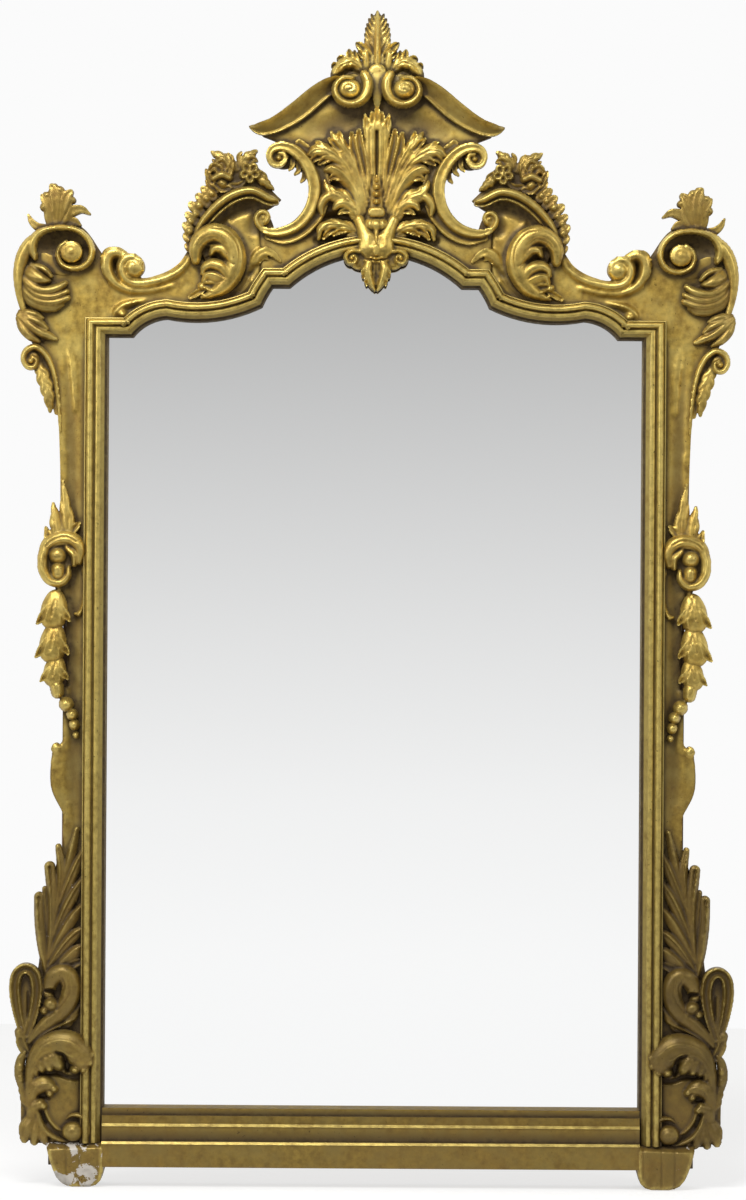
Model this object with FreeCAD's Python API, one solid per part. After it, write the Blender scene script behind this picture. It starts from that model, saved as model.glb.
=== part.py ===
import FreeCAD
import Part
import math
import os

os.makedirs("parts", exist_ok=True)

# Carved giltwood wall mirror. Millimetres, +Z up, the carved front faces -Y and the wall plane is y = 0.
# The origin is on the wall plane, in the middle of the lower edge of the bottom rail.

# Sight opening, the part of the glass that shows
SIGHT_WIDTH = 822.0
SIGHT_SIDE_HEIGHT = 1183.0
ARCH_RISE = 129.0
PLINTH_HEIGHT = 89.0

# Carved boards
BOARD_THICKNESS = 20.0
SIDE_BOARD_WIDTH = 146.0
EAR_RISE = 178.0
SHOULDER_RISE = 265.0
CREST_HALF_WIDTH = 178.0
CREST_RISE = 405.0
SHELL_VOLUTE_RADIUS = 15.0
SHELL_VOLUTE_RELIEF = 12.0

# Carcase behind the boards
CARCASE_THICKNESS = 24.0
STILE_WIDTH = 67.0
STILE_EAR_REACH = 110.0
RAIL_EAR_HEIGHT = 73.0
RAIL_CROWN_HEIGHT = 26.0
TENON_LENGTH = 30.0
TENON_THICKNESS = 8.0
TENON_SHOULDER = 8.0
TENON_END_GAP = 1.0

# Glass, glazing blocks and backboards
GLASS_THICKNESS = 4.0
GLASS_REBATE = 8.0
GLASS_CLEARANCE = 1.0
BACK_REBATE = 20.0
BACKBOARD_THICKNESS = 8.0
BACKBOARD_INSET = 2.0
BACKBOARD_CLEARANCE = 1.0
BACKBOARD_SEAM = 0.6
GLAZING_BLOCK_LENGTH = 60.0
GLAZING_BLOCK_WIDTH = 12.0
BACK_SCREW_LENGTH = 16.0
BACK_SCREW_RADIUS = 1.7
BACK_SCREW_HEAD_RADIUS = 3.4

# Sight moulding and plinth
MOULDING_WIDTH = 35.0
MOULDING_HEIGHT = 22.0
FASCIA_PROJECTION = 24.0
FOOT_WIDTH = 84.0
FOOT_DROP = 31.0
FOOT_FRONT_HEIGHT = 36.0
FOOT_PROJECTION = 24.0
FIT_GAP = 0.4

# Carved ornament
HOOD_RELIEF = 30.0
C_SCROLL_RELIEF = 20.0
C_SCROLL_TOP_RADIUS = 19.0
C_SCROLL_END_RADIUS = 12.0
ARCH_RELIEF = 22.0
SHOULDER_LEAF_RELIEF = 34.0
SPRAY_LEAF_RELIEF = 14.0
ROSE_RADIUS = 17.5
ROSE_RELIEF = 26.0
BUD_RADIUS = 8.0
BUD_STEM_RELIEF = 6.0
BUD_RELIEF = 13.0
CORNER_VOLUTE_RADIUS = 46.0
CORNER_VOLUTE_RELIEF = 26.0
CORNER_LEAF_DEPTH = 24.0
CORNER_LEAF_SETBACK = 6.0
CORNER_ACANTHUS_RELIEF = 26.0
CORNER_SCROLL_RADIUS = 13.0
CORNER_SCROLL_RELIEF = 16.0
CORNER_BAND_RELIEF = 12.0
MID_LEAF_RELIEF = 18.0
MID_VOLUTE_RADIUS = 19.0
MID_VOLUTE_RELIEF = 24.0
HUSK_RELIEF = 26.0
GARLAND_STEM_SETOUT = 8.0
GARLAND_STEM_RADIUS = 4.0
REED_WIDTH = 17.0
REED_RELIEF = 14.0
CURL_RELIEF = 18.0
CURL_VOLUTE_RADIUS = 20.0
BOTTOM_LEAF_RELIEF = 30.0
BOSS_RADIUS = 16.5
BOSS_RELIEF = 28.0
CREST_VOLUTE_RADIUS = 27.0
CREST_VOLUTE_RELIEF = 34.0
PALMETTE_RELIEF = 16.0
BEAD_DROP_RADIUS = 8.0
PENDANT_RELIEF = 34.0
FINIAL_DEPTH = 26.0
FINIAL_PEG_RADIUS = 5.0
FINIAL_PEG_LENGTH = 24.0
PEG_CLEARANCE = 0.2

# Brace behind the crest
BRACE_WIDTH = 60.0
BRACE_THICKNESS = 18.0
BRACE_SCREW_LENGTH = 30.0
BRACE_SCREW_RADIUS = 2.2
BRACE_SCREW_HEAD_RADIUS = 4.4

# Hangers let into the back of the stiles
HANGER_PIN_SETBACK = 4.1
HANGER_POCKET_WIDTH = 34.0
HANGER_POCKET_DEPTH = 8.0
HANGER_POCKET_RISE = 42.0
HANGER_POCKET_DROP = 62.0
STRAP_WIDTH = 14.0
STRAP_LENGTH = 56.0
STRAP_THICKNESS = 1.5
STRAP_LOOP_WALL = 1.5
RING_WIRE_RADIUS = 2.0
RING_HALF_WIDTH = 13.0
RING_DROP = 18.0
PIN_CLEARANCE = 0.06
HANGER_SCREW_LENGTH = 14.0
HANGER_SCREW_RADIUS = 1.7
HANGER_SCREW_HEAD_RADIUS = 3.2

# Proportions
CARVED_FACE_SHARE = 0.74
VOLUTE_RIM_SHARE = 0.78
VOLUTE_EYE_SHARE = 0.42
VOLUTE_HOLLOW_SHARE = 0.45
ROSE_CORE_SHARE = 0.5
SCREW_HEAD_SHARE = 0.22
HANGER_HEIGHT_SHARE = 0.88
RAIL_RISE_SHARE = 0.62
RAIL_CROWN_SHARE = 0.5
BRACE_TOP_SHARE = 0.82
BRACE_SCREW_SHARES = [0.2, 0.55, 0.88]
BACKBOARD_SEAM_SHARES = [-0.34, 0.34]
SIDE_BLOCK_SHARES = [0.08, 0.36, 0.64, 0.92]
BOTTOM_BLOCK_SHARES = [-0.7, 0.0, 0.7]
SIDE_SCREW_SHARES = [0.03, 0.22, 0.41, 0.6, 0.79, 0.97]
BOTTOM_SCREW_SHARES = [-0.85, -0.5, -0.17, 0.17, 0.5, 0.85]
STRAP_SCREW_SHARES = [0.36, 0.86]
ROSE_PETALS = 5
PETAL_ARC_SHARES = [0.0, 0.5, 1.0]

# Sight opening, left half of the top: straight ear, ogee, step and crown, in half widths and rises
SIGHT_TOP_SHARES = [
    [(1.0, 0.0), (0.908, 0.0)],
    [(0.908, 0.0), (0.864, 0.131), (0.781, 0.22)],
    [(0.781, 0.22), (0.583, 0.208), (0.425, 0.37)],
    [(0.425, 0.37), (0.409, 0.478), (0.385, 0.6)],
    [(0.385, 0.6), (0.3215, 0.6)],
]
SIGHT_CROWN_SHARES = [(0.3215, 0.6), (0.0, 1.0), (-0.3215, 0.6)]

# Sight moulding section from the sight edge outward: slope, fillet, hollow, bead and back fillet
MOULDING_SECTION_SHARES = [
    (0.0, 0.0), (0.0, 0.32), (0.14, 0.40), (0.34, 0.66), (0.52, 0.72), (0.56, 0.58), (0.69, 0.60),
    (0.72, 0.84), (0.76, 0.96), (0.81, 1.0), (0.86, 0.96), (0.90, 0.82), (0.915, 0.64), (1.0, 0.59),
    (1.0, 0.0),
]

# Plinth fascia section, height then projection: lower band, upper band, slope and slip
FASCIA_SECTION_SHARES = [
    (0.0, 0.0), (0.0, 0.92), (0.39, 0.92), (0.41, 1.0), (0.43, 0.92), (0.44, 0.68), (0.69, 0.68),
    (0.71, 0.76), (0.73, 0.68), (0.87, 0.34), (0.89, 0.22), (1.0, 0.2), (1.0, 0.0),
]

# Places of round pieces and chains, as shares of their board
CORNER_VOLUTE_PLACE_SHARE = (0.423, 0.968)
CORNER_SCROLL_PLACE_SHARE = (0.805, 0.851)
SHELL_VOLUTE_PLACE_SHARE = (0.151, 0.402)
ROSE_PLACE_SHARES = [(0.930, 0.949), (0.733, 0.913)]
BUD_PLACE_SHARES = [(0.661, 0.821), (0.589, 0.757), (0.556, 0.699), (0.524, 0.618), (0.518, 0.560)]
BUD_SIZE_SHARES = [1.0, 1.0, 0.9, 0.85, 0.75]
C_SCROLL_TOP_PLACE_SHARE = (0.817, 0.687)
C_SCROLL_END_PLACE_SHARE = (0.960, 0.441)
CREST_VOLUTE_PLACE_SHARE = (0.2, 0.928)
MID_VOLUTE_PLACE_SHARE = (0.507, 0.628)
REED_ROOT_SHARE = (0.607, 0.213)
REED_TIP_SHARES = [
    (0.685, 0.280), (0.572, 0.320), (0.458, 0.342), (0.390, 0.275), (0.329, 0.302), (0.230, 0.245),
]
REED_BOW_SHARE = 0.16
CURL_VOLUTE_PLACE_SHARE = (0.448, 0.191)
BOSS_PLACE_SHARE = (0.36, 0.037)

# Husk: neck, right flank, three scallops, left flank, about its middle in half widths and heights
HUSK_SHARES = [
    [(-0.25, 0.5), (0.25, 0.5)],
    [(0.25, 0.5), (0.72, 0.2), (1.0, -0.4)],
    [(1.0, -0.4), (0.66, -0.5), (0.34, -0.4)],
    [(0.34, -0.4), (0.0, -0.54), (-0.34, -0.4)],
    [(-0.34, -0.4), (-0.66, -0.5), (-1.0, -0.4)],
    [(-1.0, -0.4), (-0.72, 0.2), (-0.25, 0.5)],
]

# Husk garland from its stem to its last bead: places, then sizes as shares of the side board width
GARLAND_STEM_SHARES = [(0.495, 0.612), (0.536, 0.587), (0.545, 0.553), (0.522, 0.526), (0.489, 0.503)]
HUSK_PLACE_SHARES = [(0.536, 0.590), (0.545, 0.555), (0.525, 0.528), (0.487, 0.503)]
HUSK_HALF_WIDTH_SHARES = [0.165, 0.165, 0.14, 0.075]
HUSK_HEIGHT_SHARES = [0.31, 0.32, 0.24, 0.19]
BEAD_PLACE_SHARES = [(0.408, 0.488), (0.350, 0.477), (0.324, 0.467), (0.307, 0.4565)]
BEAD_SIZE_SHARES = [0.074, 0.063, 0.057, 0.034]

# Bead drop on the palmette, down from its top: height share, then size as a share of the bead radius
BEAD_DROP_SHARES = [
    (0.590, 0.7), (0.558, 0.95), (0.528, 1.0), (0.498, 1.0), (0.468, 0.9), (0.436, 1.25), (0.408, 0.8),
]

# Hood moulding: top run, inner end, lower run, lip
HOOD_SHARES = [
    [(1.078, 0.808), (0.922, 0.812), (0.751, 0.850), (0.596, 0.904), (0.476, 0.953), (0.356, 0.984)],
    [(0.356, 0.984), (0.347, 0.931)],
    [(0.347, 0.931), (0.492, 0.881), (0.655, 0.820), (0.827, 0.778), (0.982, 0.763)],
    [(0.982, 0.763), (1.078, 0.808)],
]

# C-scroll band round the pierced opening: inner run, end, outer run, end
C_SCROLL_SHARES = [
    [
        (0.865, 0.403), (0.761, 0.407), (0.658, 0.434), (0.594, 0.483), (0.565, 0.544),
        (0.587, 0.593), (0.653, 0.631), (0.739, 0.653),
    ],
    [(0.739, 0.653), (0.801, 0.729)],
    [
        (0.801, 0.729), (0.662, 0.714), (0.576, 0.680), (0.519, 0.635), (0.484, 0.571),
        (0.491, 0.506), (0.547, 0.457), (0.632, 0.411), (0.744, 0.384), (0.899, 0.380),
    ],
    [(0.899, 0.380), (0.865, 0.403)],
]

# Arched shoulder moulding: nose, outer run, foot, inner run, lip
ARCH_SHARES = [
    [(1.128, 0.800), (0.970, 0.874)],
    [(0.970, 0.874), (0.825, 0.850), (0.688, 0.757), (0.583, 0.629)],
    [(0.583, 0.629), (0.636, 0.595)],
    [(0.636, 0.595), (0.734, 0.705), (0.852, 0.781), (0.970, 0.805)],
    [(0.970, 0.805), (1.063, 0.759)],
    [(1.063, 0.759), (1.128, 0.800)],
]

# Curled acanthus on the shoulder, one arc to a lobe
SHOULDER_LEAF_SHARES = [
    [(0.649, 0.595), (0.748, 0.630), (0.814, 0.573)],
    [(0.814, 0.573), (0.893, 0.521), (0.867, 0.446)],
    [(0.867, 0.446), (0.908, 0.365), (0.829, 0.307)],
    [(0.829, 0.307), (0.777, 0.232), (0.685, 0.254)],
    [(0.685, 0.254), (0.606, 0.265), (0.592, 0.329)],
    [(0.592, 0.329), (0.539, 0.398), (0.578, 0.479)],
    [(0.578, 0.479), (0.564, 0.560), (0.649, 0.595)],
]

# Leaves of the flower spray, each drawn as two arcs
SPRAY_LEAF_SHARES = [
    [(0.661, 0.815), (0.653, 0.953), (0.732, 1.058)],
    [(0.732, 1.058), (0.811, 0.966), (0.786, 0.850)],
    [(0.786, 0.850), (0.720, 0.827), (0.661, 0.815)],
]

# Second leaf of the flower spray
SPRAY_TIP_SHARES = [
    [(0.759, 0.885), (0.824, 0.989), (0.929, 1.071)],
    [(0.929, 1.071), (1.021, 1.002), (1.088, 0.840)],
    [(1.088, 0.840), (0.930, 0.874), (0.759, 0.885)],
]

# Stem that carries the buds down the shoulder
BUD_STEM_SHARES = [
    [(0.726, 0.885), (0.654, 0.809), (0.583, 0.733), (0.544, 0.641), (0.538, 0.537)],
    [(0.538, 0.537), (0.498, 0.536)],
    [(0.498, 0.536), (0.504, 0.641), (0.543, 0.751), (0.615, 0.832), (0.680, 0.907)],
    [(0.680, 0.907), (0.726, 0.885)],
]

# Leaf that stands on the ear, one arc to a lobe
CORNER_LEAF_SHARES = [
    [(0.613, 0.979), (0.804, 0.993), (0.720, 1.008)],
    [(0.720, 1.008), (0.826, 1.017), (0.690, 1.023)],
    [(0.690, 1.023), (0.659, 1.034), (0.564, 1.038)],
    [(0.564, 1.038), (0.480, 1.032), (0.448, 1.022)],
    [(0.448, 1.022), (0.311, 1.021), (0.331, 1.009)],
    [(0.331, 1.009), (0.194, 1.000), (0.255, 0.979)],
    [(0.255, 0.979), (0.613, 0.979)],
]

# Acanthus down the outside of the ear, one arc to a lobe
CORNER_ACANTHUS_SHARES = [
    [(0.676, 0.972), (0.844, 0.968), (0.885, 0.949)],
    [(0.885, 0.949), (0.990, 0.934), (0.936, 0.919)],
    [(0.936, 0.919), (0.988, 0.902), (0.861, 0.892)],
    [(0.861, 0.892), (0.796, 0.876), (0.671, 0.884)],
    [(0.671, 0.884), (0.524, 0.892), (0.462, 0.913)],
    [(0.462, 0.913), (0.378, 0.924), (0.400, 0.934)],
    [(0.400, 0.934), (0.590, 0.945), (0.676, 0.972)],
]

# Band that runs up from the side into the small scroll under the ear
CORNER_BAND_SHARES = [
    [(0.806, 0.859), (0.627, 0.857), (0.520, 0.837), (0.487, 0.807), (0.440, 0.731)],
    [(0.440, 0.731), (0.503, 0.731)],
    [(0.503, 0.731), (0.560, 0.807), (0.594, 0.831), (0.668, 0.845), (0.805, 0.851)],
    [(0.805, 0.851), (0.806, 0.859)],
]

# Pointed leaf that hangs beside the small scroll
CORNER_DROP_SHARES = [
    [(0.732, 0.850), (0.751, 0.820), (0.634, 0.797)],
    [(0.634, 0.797), (0.530, 0.818), (0.584, 0.839)],
    [(0.584, 0.839), (0.647, 0.848), (0.732, 0.850)],
]

# Leaf over the scroll half way down the side
MID_LEAF_SHARES = [
    [(0.429, 0.724), (0.522, 0.704), (0.584, 0.674)],
    [(0.584, 0.674), (0.688, 0.655), (0.634, 0.634)],
    [(0.634, 0.634), (0.507, 0.628), (0.381, 0.628)],
    [(0.381, 0.628), (0.256, 0.645), (0.320, 0.670)],
    [(0.320, 0.670), (0.343, 0.700), (0.429, 0.724)],
]

# Ribbon leaf curling off the outside of the reeds
CURL_SHARES = [
    [(0.608, 0.219), (0.860, 0.208), (0.964, 0.185)],
    [(0.964, 0.185), (0.973, 0.159), (0.793, 0.143)],
    [(0.793, 0.143), (0.826, 0.166), (0.732, 0.183)],
    [(0.732, 0.183), (0.606, 0.191), (0.523, 0.211)],
    [(0.523, 0.211), (0.565, 0.215), (0.608, 0.219)],
]

# Large acanthus above the foot, one arc to a lobe
BOTTOM_LEAF_SHARES = [
    [(0.477, 0.151), (0.666, 0.147), (0.760, 0.128)],
    [(0.760, 0.128), (0.875, 0.109), (0.821, 0.088)],
    [(0.821, 0.088), (0.883, 0.069), (0.797, 0.052)],
    [(0.797, 0.052), (0.838, 0.030), (0.659, 0.022)],
    [(0.659, 0.022), (0.532, 0.020), (0.449, 0.029)],
    [(0.449, 0.029), (0.387, 0.056), (0.241, 0.069)],
    [(0.241, 0.069), (0.063, 0.086), (0.106, 0.111)],
    [(0.106, 0.111), (0.140, 0.137), (0.287, 0.143)],
    [(0.287, 0.143), (0.382, 0.149), (0.477, 0.151)],
]

# Left half of the palmette, from its tip to its foot, one arc to a leaf
PALMETTE_HALF_SHARES = [
    [(0.000, 0.864), (0.069, 0.848), (0.103, 0.803)],
    [(0.103, 0.803), (0.181, 0.795), (0.216, 0.754)],
    [(0.216, 0.754), (0.310, 0.758), (0.388, 0.712)],
    [(0.388, 0.712), (0.483, 0.720), (0.578, 0.701)],
    [(0.578, 0.701), (0.560, 0.674), (0.500, 0.648)],
    [(0.500, 0.648), (0.483, 0.610), (0.405, 0.583)],
    [(0.405, 0.583), (0.474, 0.542), (0.414, 0.496)],
    [(0.414, 0.496), (0.483, 0.451), (0.431, 0.402)],
    [(0.431, 0.402), (0.241, 0.367), (0.000, 0.356)],
]

# Left half of the pendant under the crown, from top to tip
PENDANT_HALF_SHARES = [
    [(0.000, 0.348), (0.103, 0.348), (0.190, 0.333)],
    [(0.190, 0.333), (0.284, 0.303), (0.181, 0.277)],
    [(0.181, 0.277), (0.112, 0.288), (0.086, 0.265)],
    [(0.086, 0.265), (0.121, 0.227), (0.000, 0.178)],
]

# Left half of the finial, from tip to seat
FINIAL_HALF_SHARES = [
    [(0.000, 1.227), (0.078, 1.189), (0.086, 1.144)],
    [(0.086, 1.144), (0.190, 1.167), (0.233, 1.114)],
    [(0.233, 1.114), (0.336, 1.117), (0.371, 1.064)],
    [(0.371, 1.064), (0.405, 1.015), (0.293, 0.996)],
    [(0.293, 0.996), (0.000, 0.996)],
]

# Side board: foot, outer edge from the foot up to the ear, ear, seam with the shoulder
SIDE_BOARD_SHARES = [
    [
        (0.680, 0.023), (0.798, 0.058), (0.822, 0.106), (0.730, 0.153), (0.711, 0.190),
        (0.631, 0.249), (0.550, 0.302), (0.405, 0.346),
    ],
    [(0.405, 0.346), (0.449, 0.374), (0.556, 0.395), (0.578, 0.418), (0.558, 0.437)],
    [(0.558, 0.437), (0.454, 0.448)],
    [(0.454, 0.448), (0.413, 0.476), (0.412, 0.540), (0.421, 0.598)],
    [(0.421, 0.598), (0.549, 0.619), (0.592, 0.640), (0.510, 0.677), (0.429, 0.725)],
    [(0.429, 0.725), (0.453, 0.778), (0.540, 0.815), (0.647, 0.843), (0.753, 0.860)],
    [(0.753, 0.860), (0.871, 0.889), (0.936, 0.926), (0.875, 0.960), (0.688, 0.987), (0.446, 0.997)],
    [(0.446, 0.997), (0.235, 0.989), (0.108, 0.971), (0.000, 0.958)],
]

# Shoulder board: edge from the ear seam to the crest seam
SHOULDER_BOARD_SHARES = [
    [(0.000, 0.453), (0.065, 0.476), (0.144, 0.430), (0.223, 0.338), (0.303, 0.304)],
    [(0.303, 0.304), (0.401, 0.310), (0.487, 0.357), (0.545, 0.433)],
    [(0.545, 0.433), (0.538, 0.583), (0.609, 0.745), (0.707, 0.861)],
    [(0.707, 0.861), (0.772, 0.954), (0.903, 0.966), (1.022, 0.898), (1.135, 0.800)],
    [(1.135, 0.800), (1.069, 0.753), (1.000, 0.724)],
]

# Crest board, left half: end of the C-scroll, pierced opening, volute, hood
CREST_BOARD_SHARES = [
    [(1.000, 0.459), (0.952, 0.469), (0.909, 0.448), (0.882, 0.414)],
    [
        (0.882, 0.414), (0.779, 0.407), (0.667, 0.434), (0.599, 0.483), (0.569, 0.544),
        (0.592, 0.593), (0.653, 0.631), (0.731, 0.653),
    ],
    [(0.731, 0.653), (0.808, 0.640), (0.894, 0.657), (0.921, 0.691), (0.904, 0.721), (0.870, 0.744)],
    [(0.870, 0.744), (0.982, 0.763)],
    [(0.982, 0.763), (1.078, 0.808)],
    [
        (1.078, 0.808), (0.922, 0.812), (0.751, 0.850), (0.596, 0.904), (0.476, 0.953),
        (0.356, 0.984), (0.244, 0.996),
    ],
]

# Sizes worked out from the ones above
HALF_SIGHT = SIGHT_WIDTH / 2
EAR_Z = PLINTH_HEIGHT + SIGHT_SIDE_HEIGHT
CROWN_Z = EAR_Z + ARCH_RISE
SIDE_BOARD_HEIGHT = EAR_Z + EAR_RISE
SHOULDER_WIDTH = HALF_SIGHT - CREST_HALF_WIDTH
BOARD_BACK = CARCASE_THICKNESS
BOARD_FRONT = CARCASE_THICKNESS + BOARD_THICKNESS
REBATE_DEPTH = BACKBOARD_INSET + BACKBOARD_THICKNESS
GLASS_BACK = CARCASE_THICKNESS - GLASS_THICKNESS
GLASS_OPENING = GLASS_REBATE + GLASS_CLEARANCE
STILE_INNER = HALF_SIGHT + GLASS_OPENING
STILE_OUTER = HALF_SIGHT + STILE_WIDTH
OVERALL = SIDE_BOARD_HEIGHT + CREST_RISE
ACROSS = FreeCAD.Vector(1, 0, 0)
UP = FreeCAD.Vector(0, 0, 1)
FORWARD = FreeCAD.Vector(0, -1, 0)
ORIGIN = FreeCAD.Vector(0, 0, 0)
NEARLY_TANGENT = 0.02
MEETING_STEPS = 12


def point(x, depth, z):
    return FreeCAD.Vector(x, -depth, z)


def box(left, right, back, front, low, high):
    return Part.makeBox(right - left, front - back, high - low, point(left, front, low))


def rod(x, z, radius, back, front):
    return Part.makeCylinder(radius, front - back, point(x, back, z), FORWARD)


def bar(start, end, radius):
    return Part.makeCylinder(radius, (end - start).Length, start, end - start)


def edge(run, depth):
    points = [point(x, depth, z) for x, z in run]
    if len(points) == 2:
        return Part.makeLine(points[0], points[1])
    if len(points) == 3:
        return Part.Arc(points[0], points[1], points[2]).toShape()
    curve = Part.BSplineCurve()
    curve.interpolate(points)
    return curve.toShape()


def outline(runs, depth):
    return Part.Wire([edge(run, depth) for run in runs])


def slab(runs, back, front):
    return Part.Face(outline(runs, back)).extrude(FORWARD * (front - back))


def shrunk(runs, share):
    xs = [place[0] for run in runs for place in run]
    zs = [place[1] for run in runs for place in run]
    mid_x = (min(xs) + max(xs)) / 2
    mid_z = (min(zs) + max(zs)) / 2
    return [[(mid_x + (x - mid_x) * share, mid_z + (z - mid_z) * share) for x, z in run] for run in runs]


def carved(runs, back, front):
    foot = outline(runs, back)
    face = outline(shrunk(runs, CARVED_FACE_SHARE), front)
    return Part.makeLoft([foot, face], True, True)


def fused(shapes):
    return shapes[0].multiFuse(shapes[1:]).removeSplitter()


def largest(shape):
    return max(shape.Solids, key=lambda solid: solid.Volume)


def cleared(shape, neighbours):
    return largest(shape.cut(neighbours))


def mirrored(shape):
    return shape.mirror(ORIGIN, ACROSS)


def both(shape):
    return [shape, mirrored(shape)]


def save(name, solids):
    shape = solids[0] if len(solids) == 1 else Part.makeCompound(solids)
    shape.exportStep("parts/" + name + ".step")


def save_pair(name, shape):
    save("left_" + name, [shape])
    save("right_" + name, [mirrored(shape)])


# Places on the boards
def on_side(place):
    return (-HALF_SIGHT - place[0] * SIDE_BOARD_WIDTH, place[1] * SIDE_BOARD_HEIGHT)


def on_shoulder(place):
    return (-HALF_SIGHT + place[0] * SHOULDER_WIDTH, EAR_Z + place[1] * SHOULDER_RISE)


def on_crest(place):
    return (-place[0] * CREST_HALF_WIDTH, EAR_Z + place[1] * CREST_RISE)


def laid(runs, board):
    return [[board(place) for place in run] for run in runs]


def reflected(runs):
    return [[(-x, z) for x, z in reversed(run)] for run in reversed(runs)]


def whole(half_runs):
    return half_runs + reflected(half_runs)


# The sight line: up the left side, over the top and down the right
def sight_runs(low):
    top = [[(-x * HALF_SIGHT, EAR_Z + z * ARCH_RISE) for x, z in run] for run in SIGHT_TOP_SHARES]
    crown = [(-x * HALF_SIGHT, EAR_Z + z * ARCH_RISE) for x, z in SIGHT_CROWN_SHARES]
    left = [(-HALF_SIGHT, low), (-HALF_SIGHT, EAR_Z)]
    right = [(HALF_SIGHT, EAR_Z), (HALF_SIGHT, low)]
    bottom = [(HALF_SIGHT, low), (-HALF_SIGHT, low)]
    return [left] + top + [crown] + reflected(top) + [right, bottom]


def circle_of(run):
    (ax, az), (bx, bz), (cx, cz) = run
    a = ax * ax + az * az
    b = bx * bx + bz * bz
    c = cx * cx + cz * cz
    turn = 2 * (ax * (bz - cz) + bx * (cz - az) + cx * (az - bz))
    x = (a * (bz - cz) + b * (cz - az) + c * (az - bz)) / turn
    z = (a * (cx - bx) + b * (ax - cx) + c * (bx - ax)) / turn
    return x, z, math.hypot(ax - x, az - z), turn


def outward_radius(run, reach):
    x, z, radius, turn = circle_of(run)
    return radius - reach if turn > 0 else radius + reach


# Slope and distance from a place to the run moved outward by the reach
def miss(run, reach, place):
    if len(run) == 2:
        (ax, az), (bx, bz) = run
        length = math.hypot(bx - ax, bz - az)
        slope = ((az - bz) / length, (bx - ax) / length)
        return slope, (place[0] - ax) * slope[0] + (place[1] - az) * slope[1] - reach
    x, z, radius, turn = circle_of(run)
    far = math.hypot(place[0] - x, place[1] - z)
    slope = ((place[0] - x) / far, (place[1] - z) / far)
    return slope, far - outward_radius(run, reach)


# Corner where two neighbouring runs meet once both are moved outward
def corner(first, second, reach):
    x, z = second[0]
    for step in range(MEETING_STEPS):
        (fx, fz), first_miss = miss(first, reach, (x, z))
        (sx, sz), second_miss = miss(second, reach, (x, z))
        spread = fx * sz - fz * sx
        if abs(spread) < NEARLY_TANGENT:
            x = x - fx * first_miss
            z = z - fz * first_miss
        else:
            x = x - (first_miss * sz - second_miss * fz) / spread
            z = z - (fx * second_miss - sx * first_miss) / spread
    return (x, z)


def widened(runs, reach):
    count = len(runs)
    corners = [corner(runs[i - 1], runs[i], reach) for i in range(count)]
    moved = []
    for i in range(count):
        start = corners[i]
        end = corners[(i + 1) % count]
        if len(runs[i]) == 2:
            moved.append([start, end])
        else:
            x, z, radius, turn = circle_of(runs[i])
            grow = outward_radius(runs[i], reach) / radius
            mid = runs[i][1]
            moved.append([start, (x + (mid[0] - x) * grow, z + (mid[1] - z) * grow), end])
    return moved


# Moulding swept round the sight line, skin by skin
def moulding_loop(runs):
    rows = []
    for across, height in MOULDING_SECTION_SHARES:
        line = widened(runs, across * MOULDING_WIDTH)
        rows.append([edge(run, BOARD_FRONT + height * MOULDING_HEIGHT) for run in line])
    skins = []
    for i in range(len(rows)):
        for here, there in zip(rows[i - 1], rows[i]):
            skins.append(Part.makeRuledSurface(here, there))
    shell = Part.Shell(skins)
    shell.sewShape()
    return Part.Solid(shell)


# Volute: a rim, a hollow and an eye
def volute(place, radius, back, front):
    x, z = place
    floor = front - (front - back) * VOLUTE_HOLLOW_SHARE
    disc = rod(x, z, radius, back, front)
    hollow = rod(x, z, radius * VOLUTE_RIM_SHARE, floor, front + radius)
    eye = rod(x, z, radius * VOLUTE_EYE_SHARE, back, front)
    return fused([disc.cut(hollow), eye])


def rose(place, radius, back, front):
    x, z = place
    runs = []
    for petal in range(ROSE_PETALS):
        turns = [(petal + share) * 2 * math.pi / ROSE_PETALS for share in PETAL_ARC_SHARES]
        reach = [radius * VOLUTE_RIM_SHARE, radius, radius * VOLUTE_RIM_SHARE]
        runs.append([(x + r * math.cos(t), z + r * math.sin(t)) for r, t in zip(reach, turns)])
    middle = (back + front) / 2
    return fused([slab(runs, back, middle), rod(x, z, radius * ROSE_CORE_SHARE, back, front)])


# Round bud or bead with a narrowed face
def knob(place, radius, relief):
    seat = point(place[0], BOARD_FRONT, place[1])
    return Part.makeCone(radius, radius * CARVED_FACE_SHARE, relief, seat, FORWARD)


def ball(place, depth, radius):
    return Part.makeSphere(radius, point(place[0], depth, place[1]))


# Bell-shaped husk with a scalloped mouth
def husk(place, half_width, height):
    runs = [[(place[0] + x * half_width, place[1] + z * height) for x, z in run] for run in HUSK_SHARES]
    return carved(runs, BOARD_FRONT, BOARD_FRONT + HUSK_RELIEF)


# Reed blade bowed between its root and its tip
def blade(root, tip):
    run_x = tip[0] - root[0]
    run_z = tip[1] - root[1]
    length = math.hypot(run_x, run_z)
    side_x = -run_z / length
    side_z = run_x / length
    bow = REED_BOW_SHARE * run_x
    mid_x = (root[0] + tip[0]) / 2 + side_x * bow
    mid_z = (root[1] + tip[1]) / 2 + side_z * bow
    half = REED_WIDTH / 2
    left = [root, (mid_x + side_x * half, mid_z + side_z * half), tip]
    right = [tip, (mid_x - side_x * half, mid_z - side_z * half), root]
    return slab([left, right], BOARD_FRONT, BOARD_FRONT + REED_RELIEF)


def screw(x, z, seat, length, radius, head_radius, head_back):
    head = rod(x, z, head_radius, head_back, seat)
    shank = rod(x, z, radius, head_back, seat + length)
    return fused([head, shank])


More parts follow.
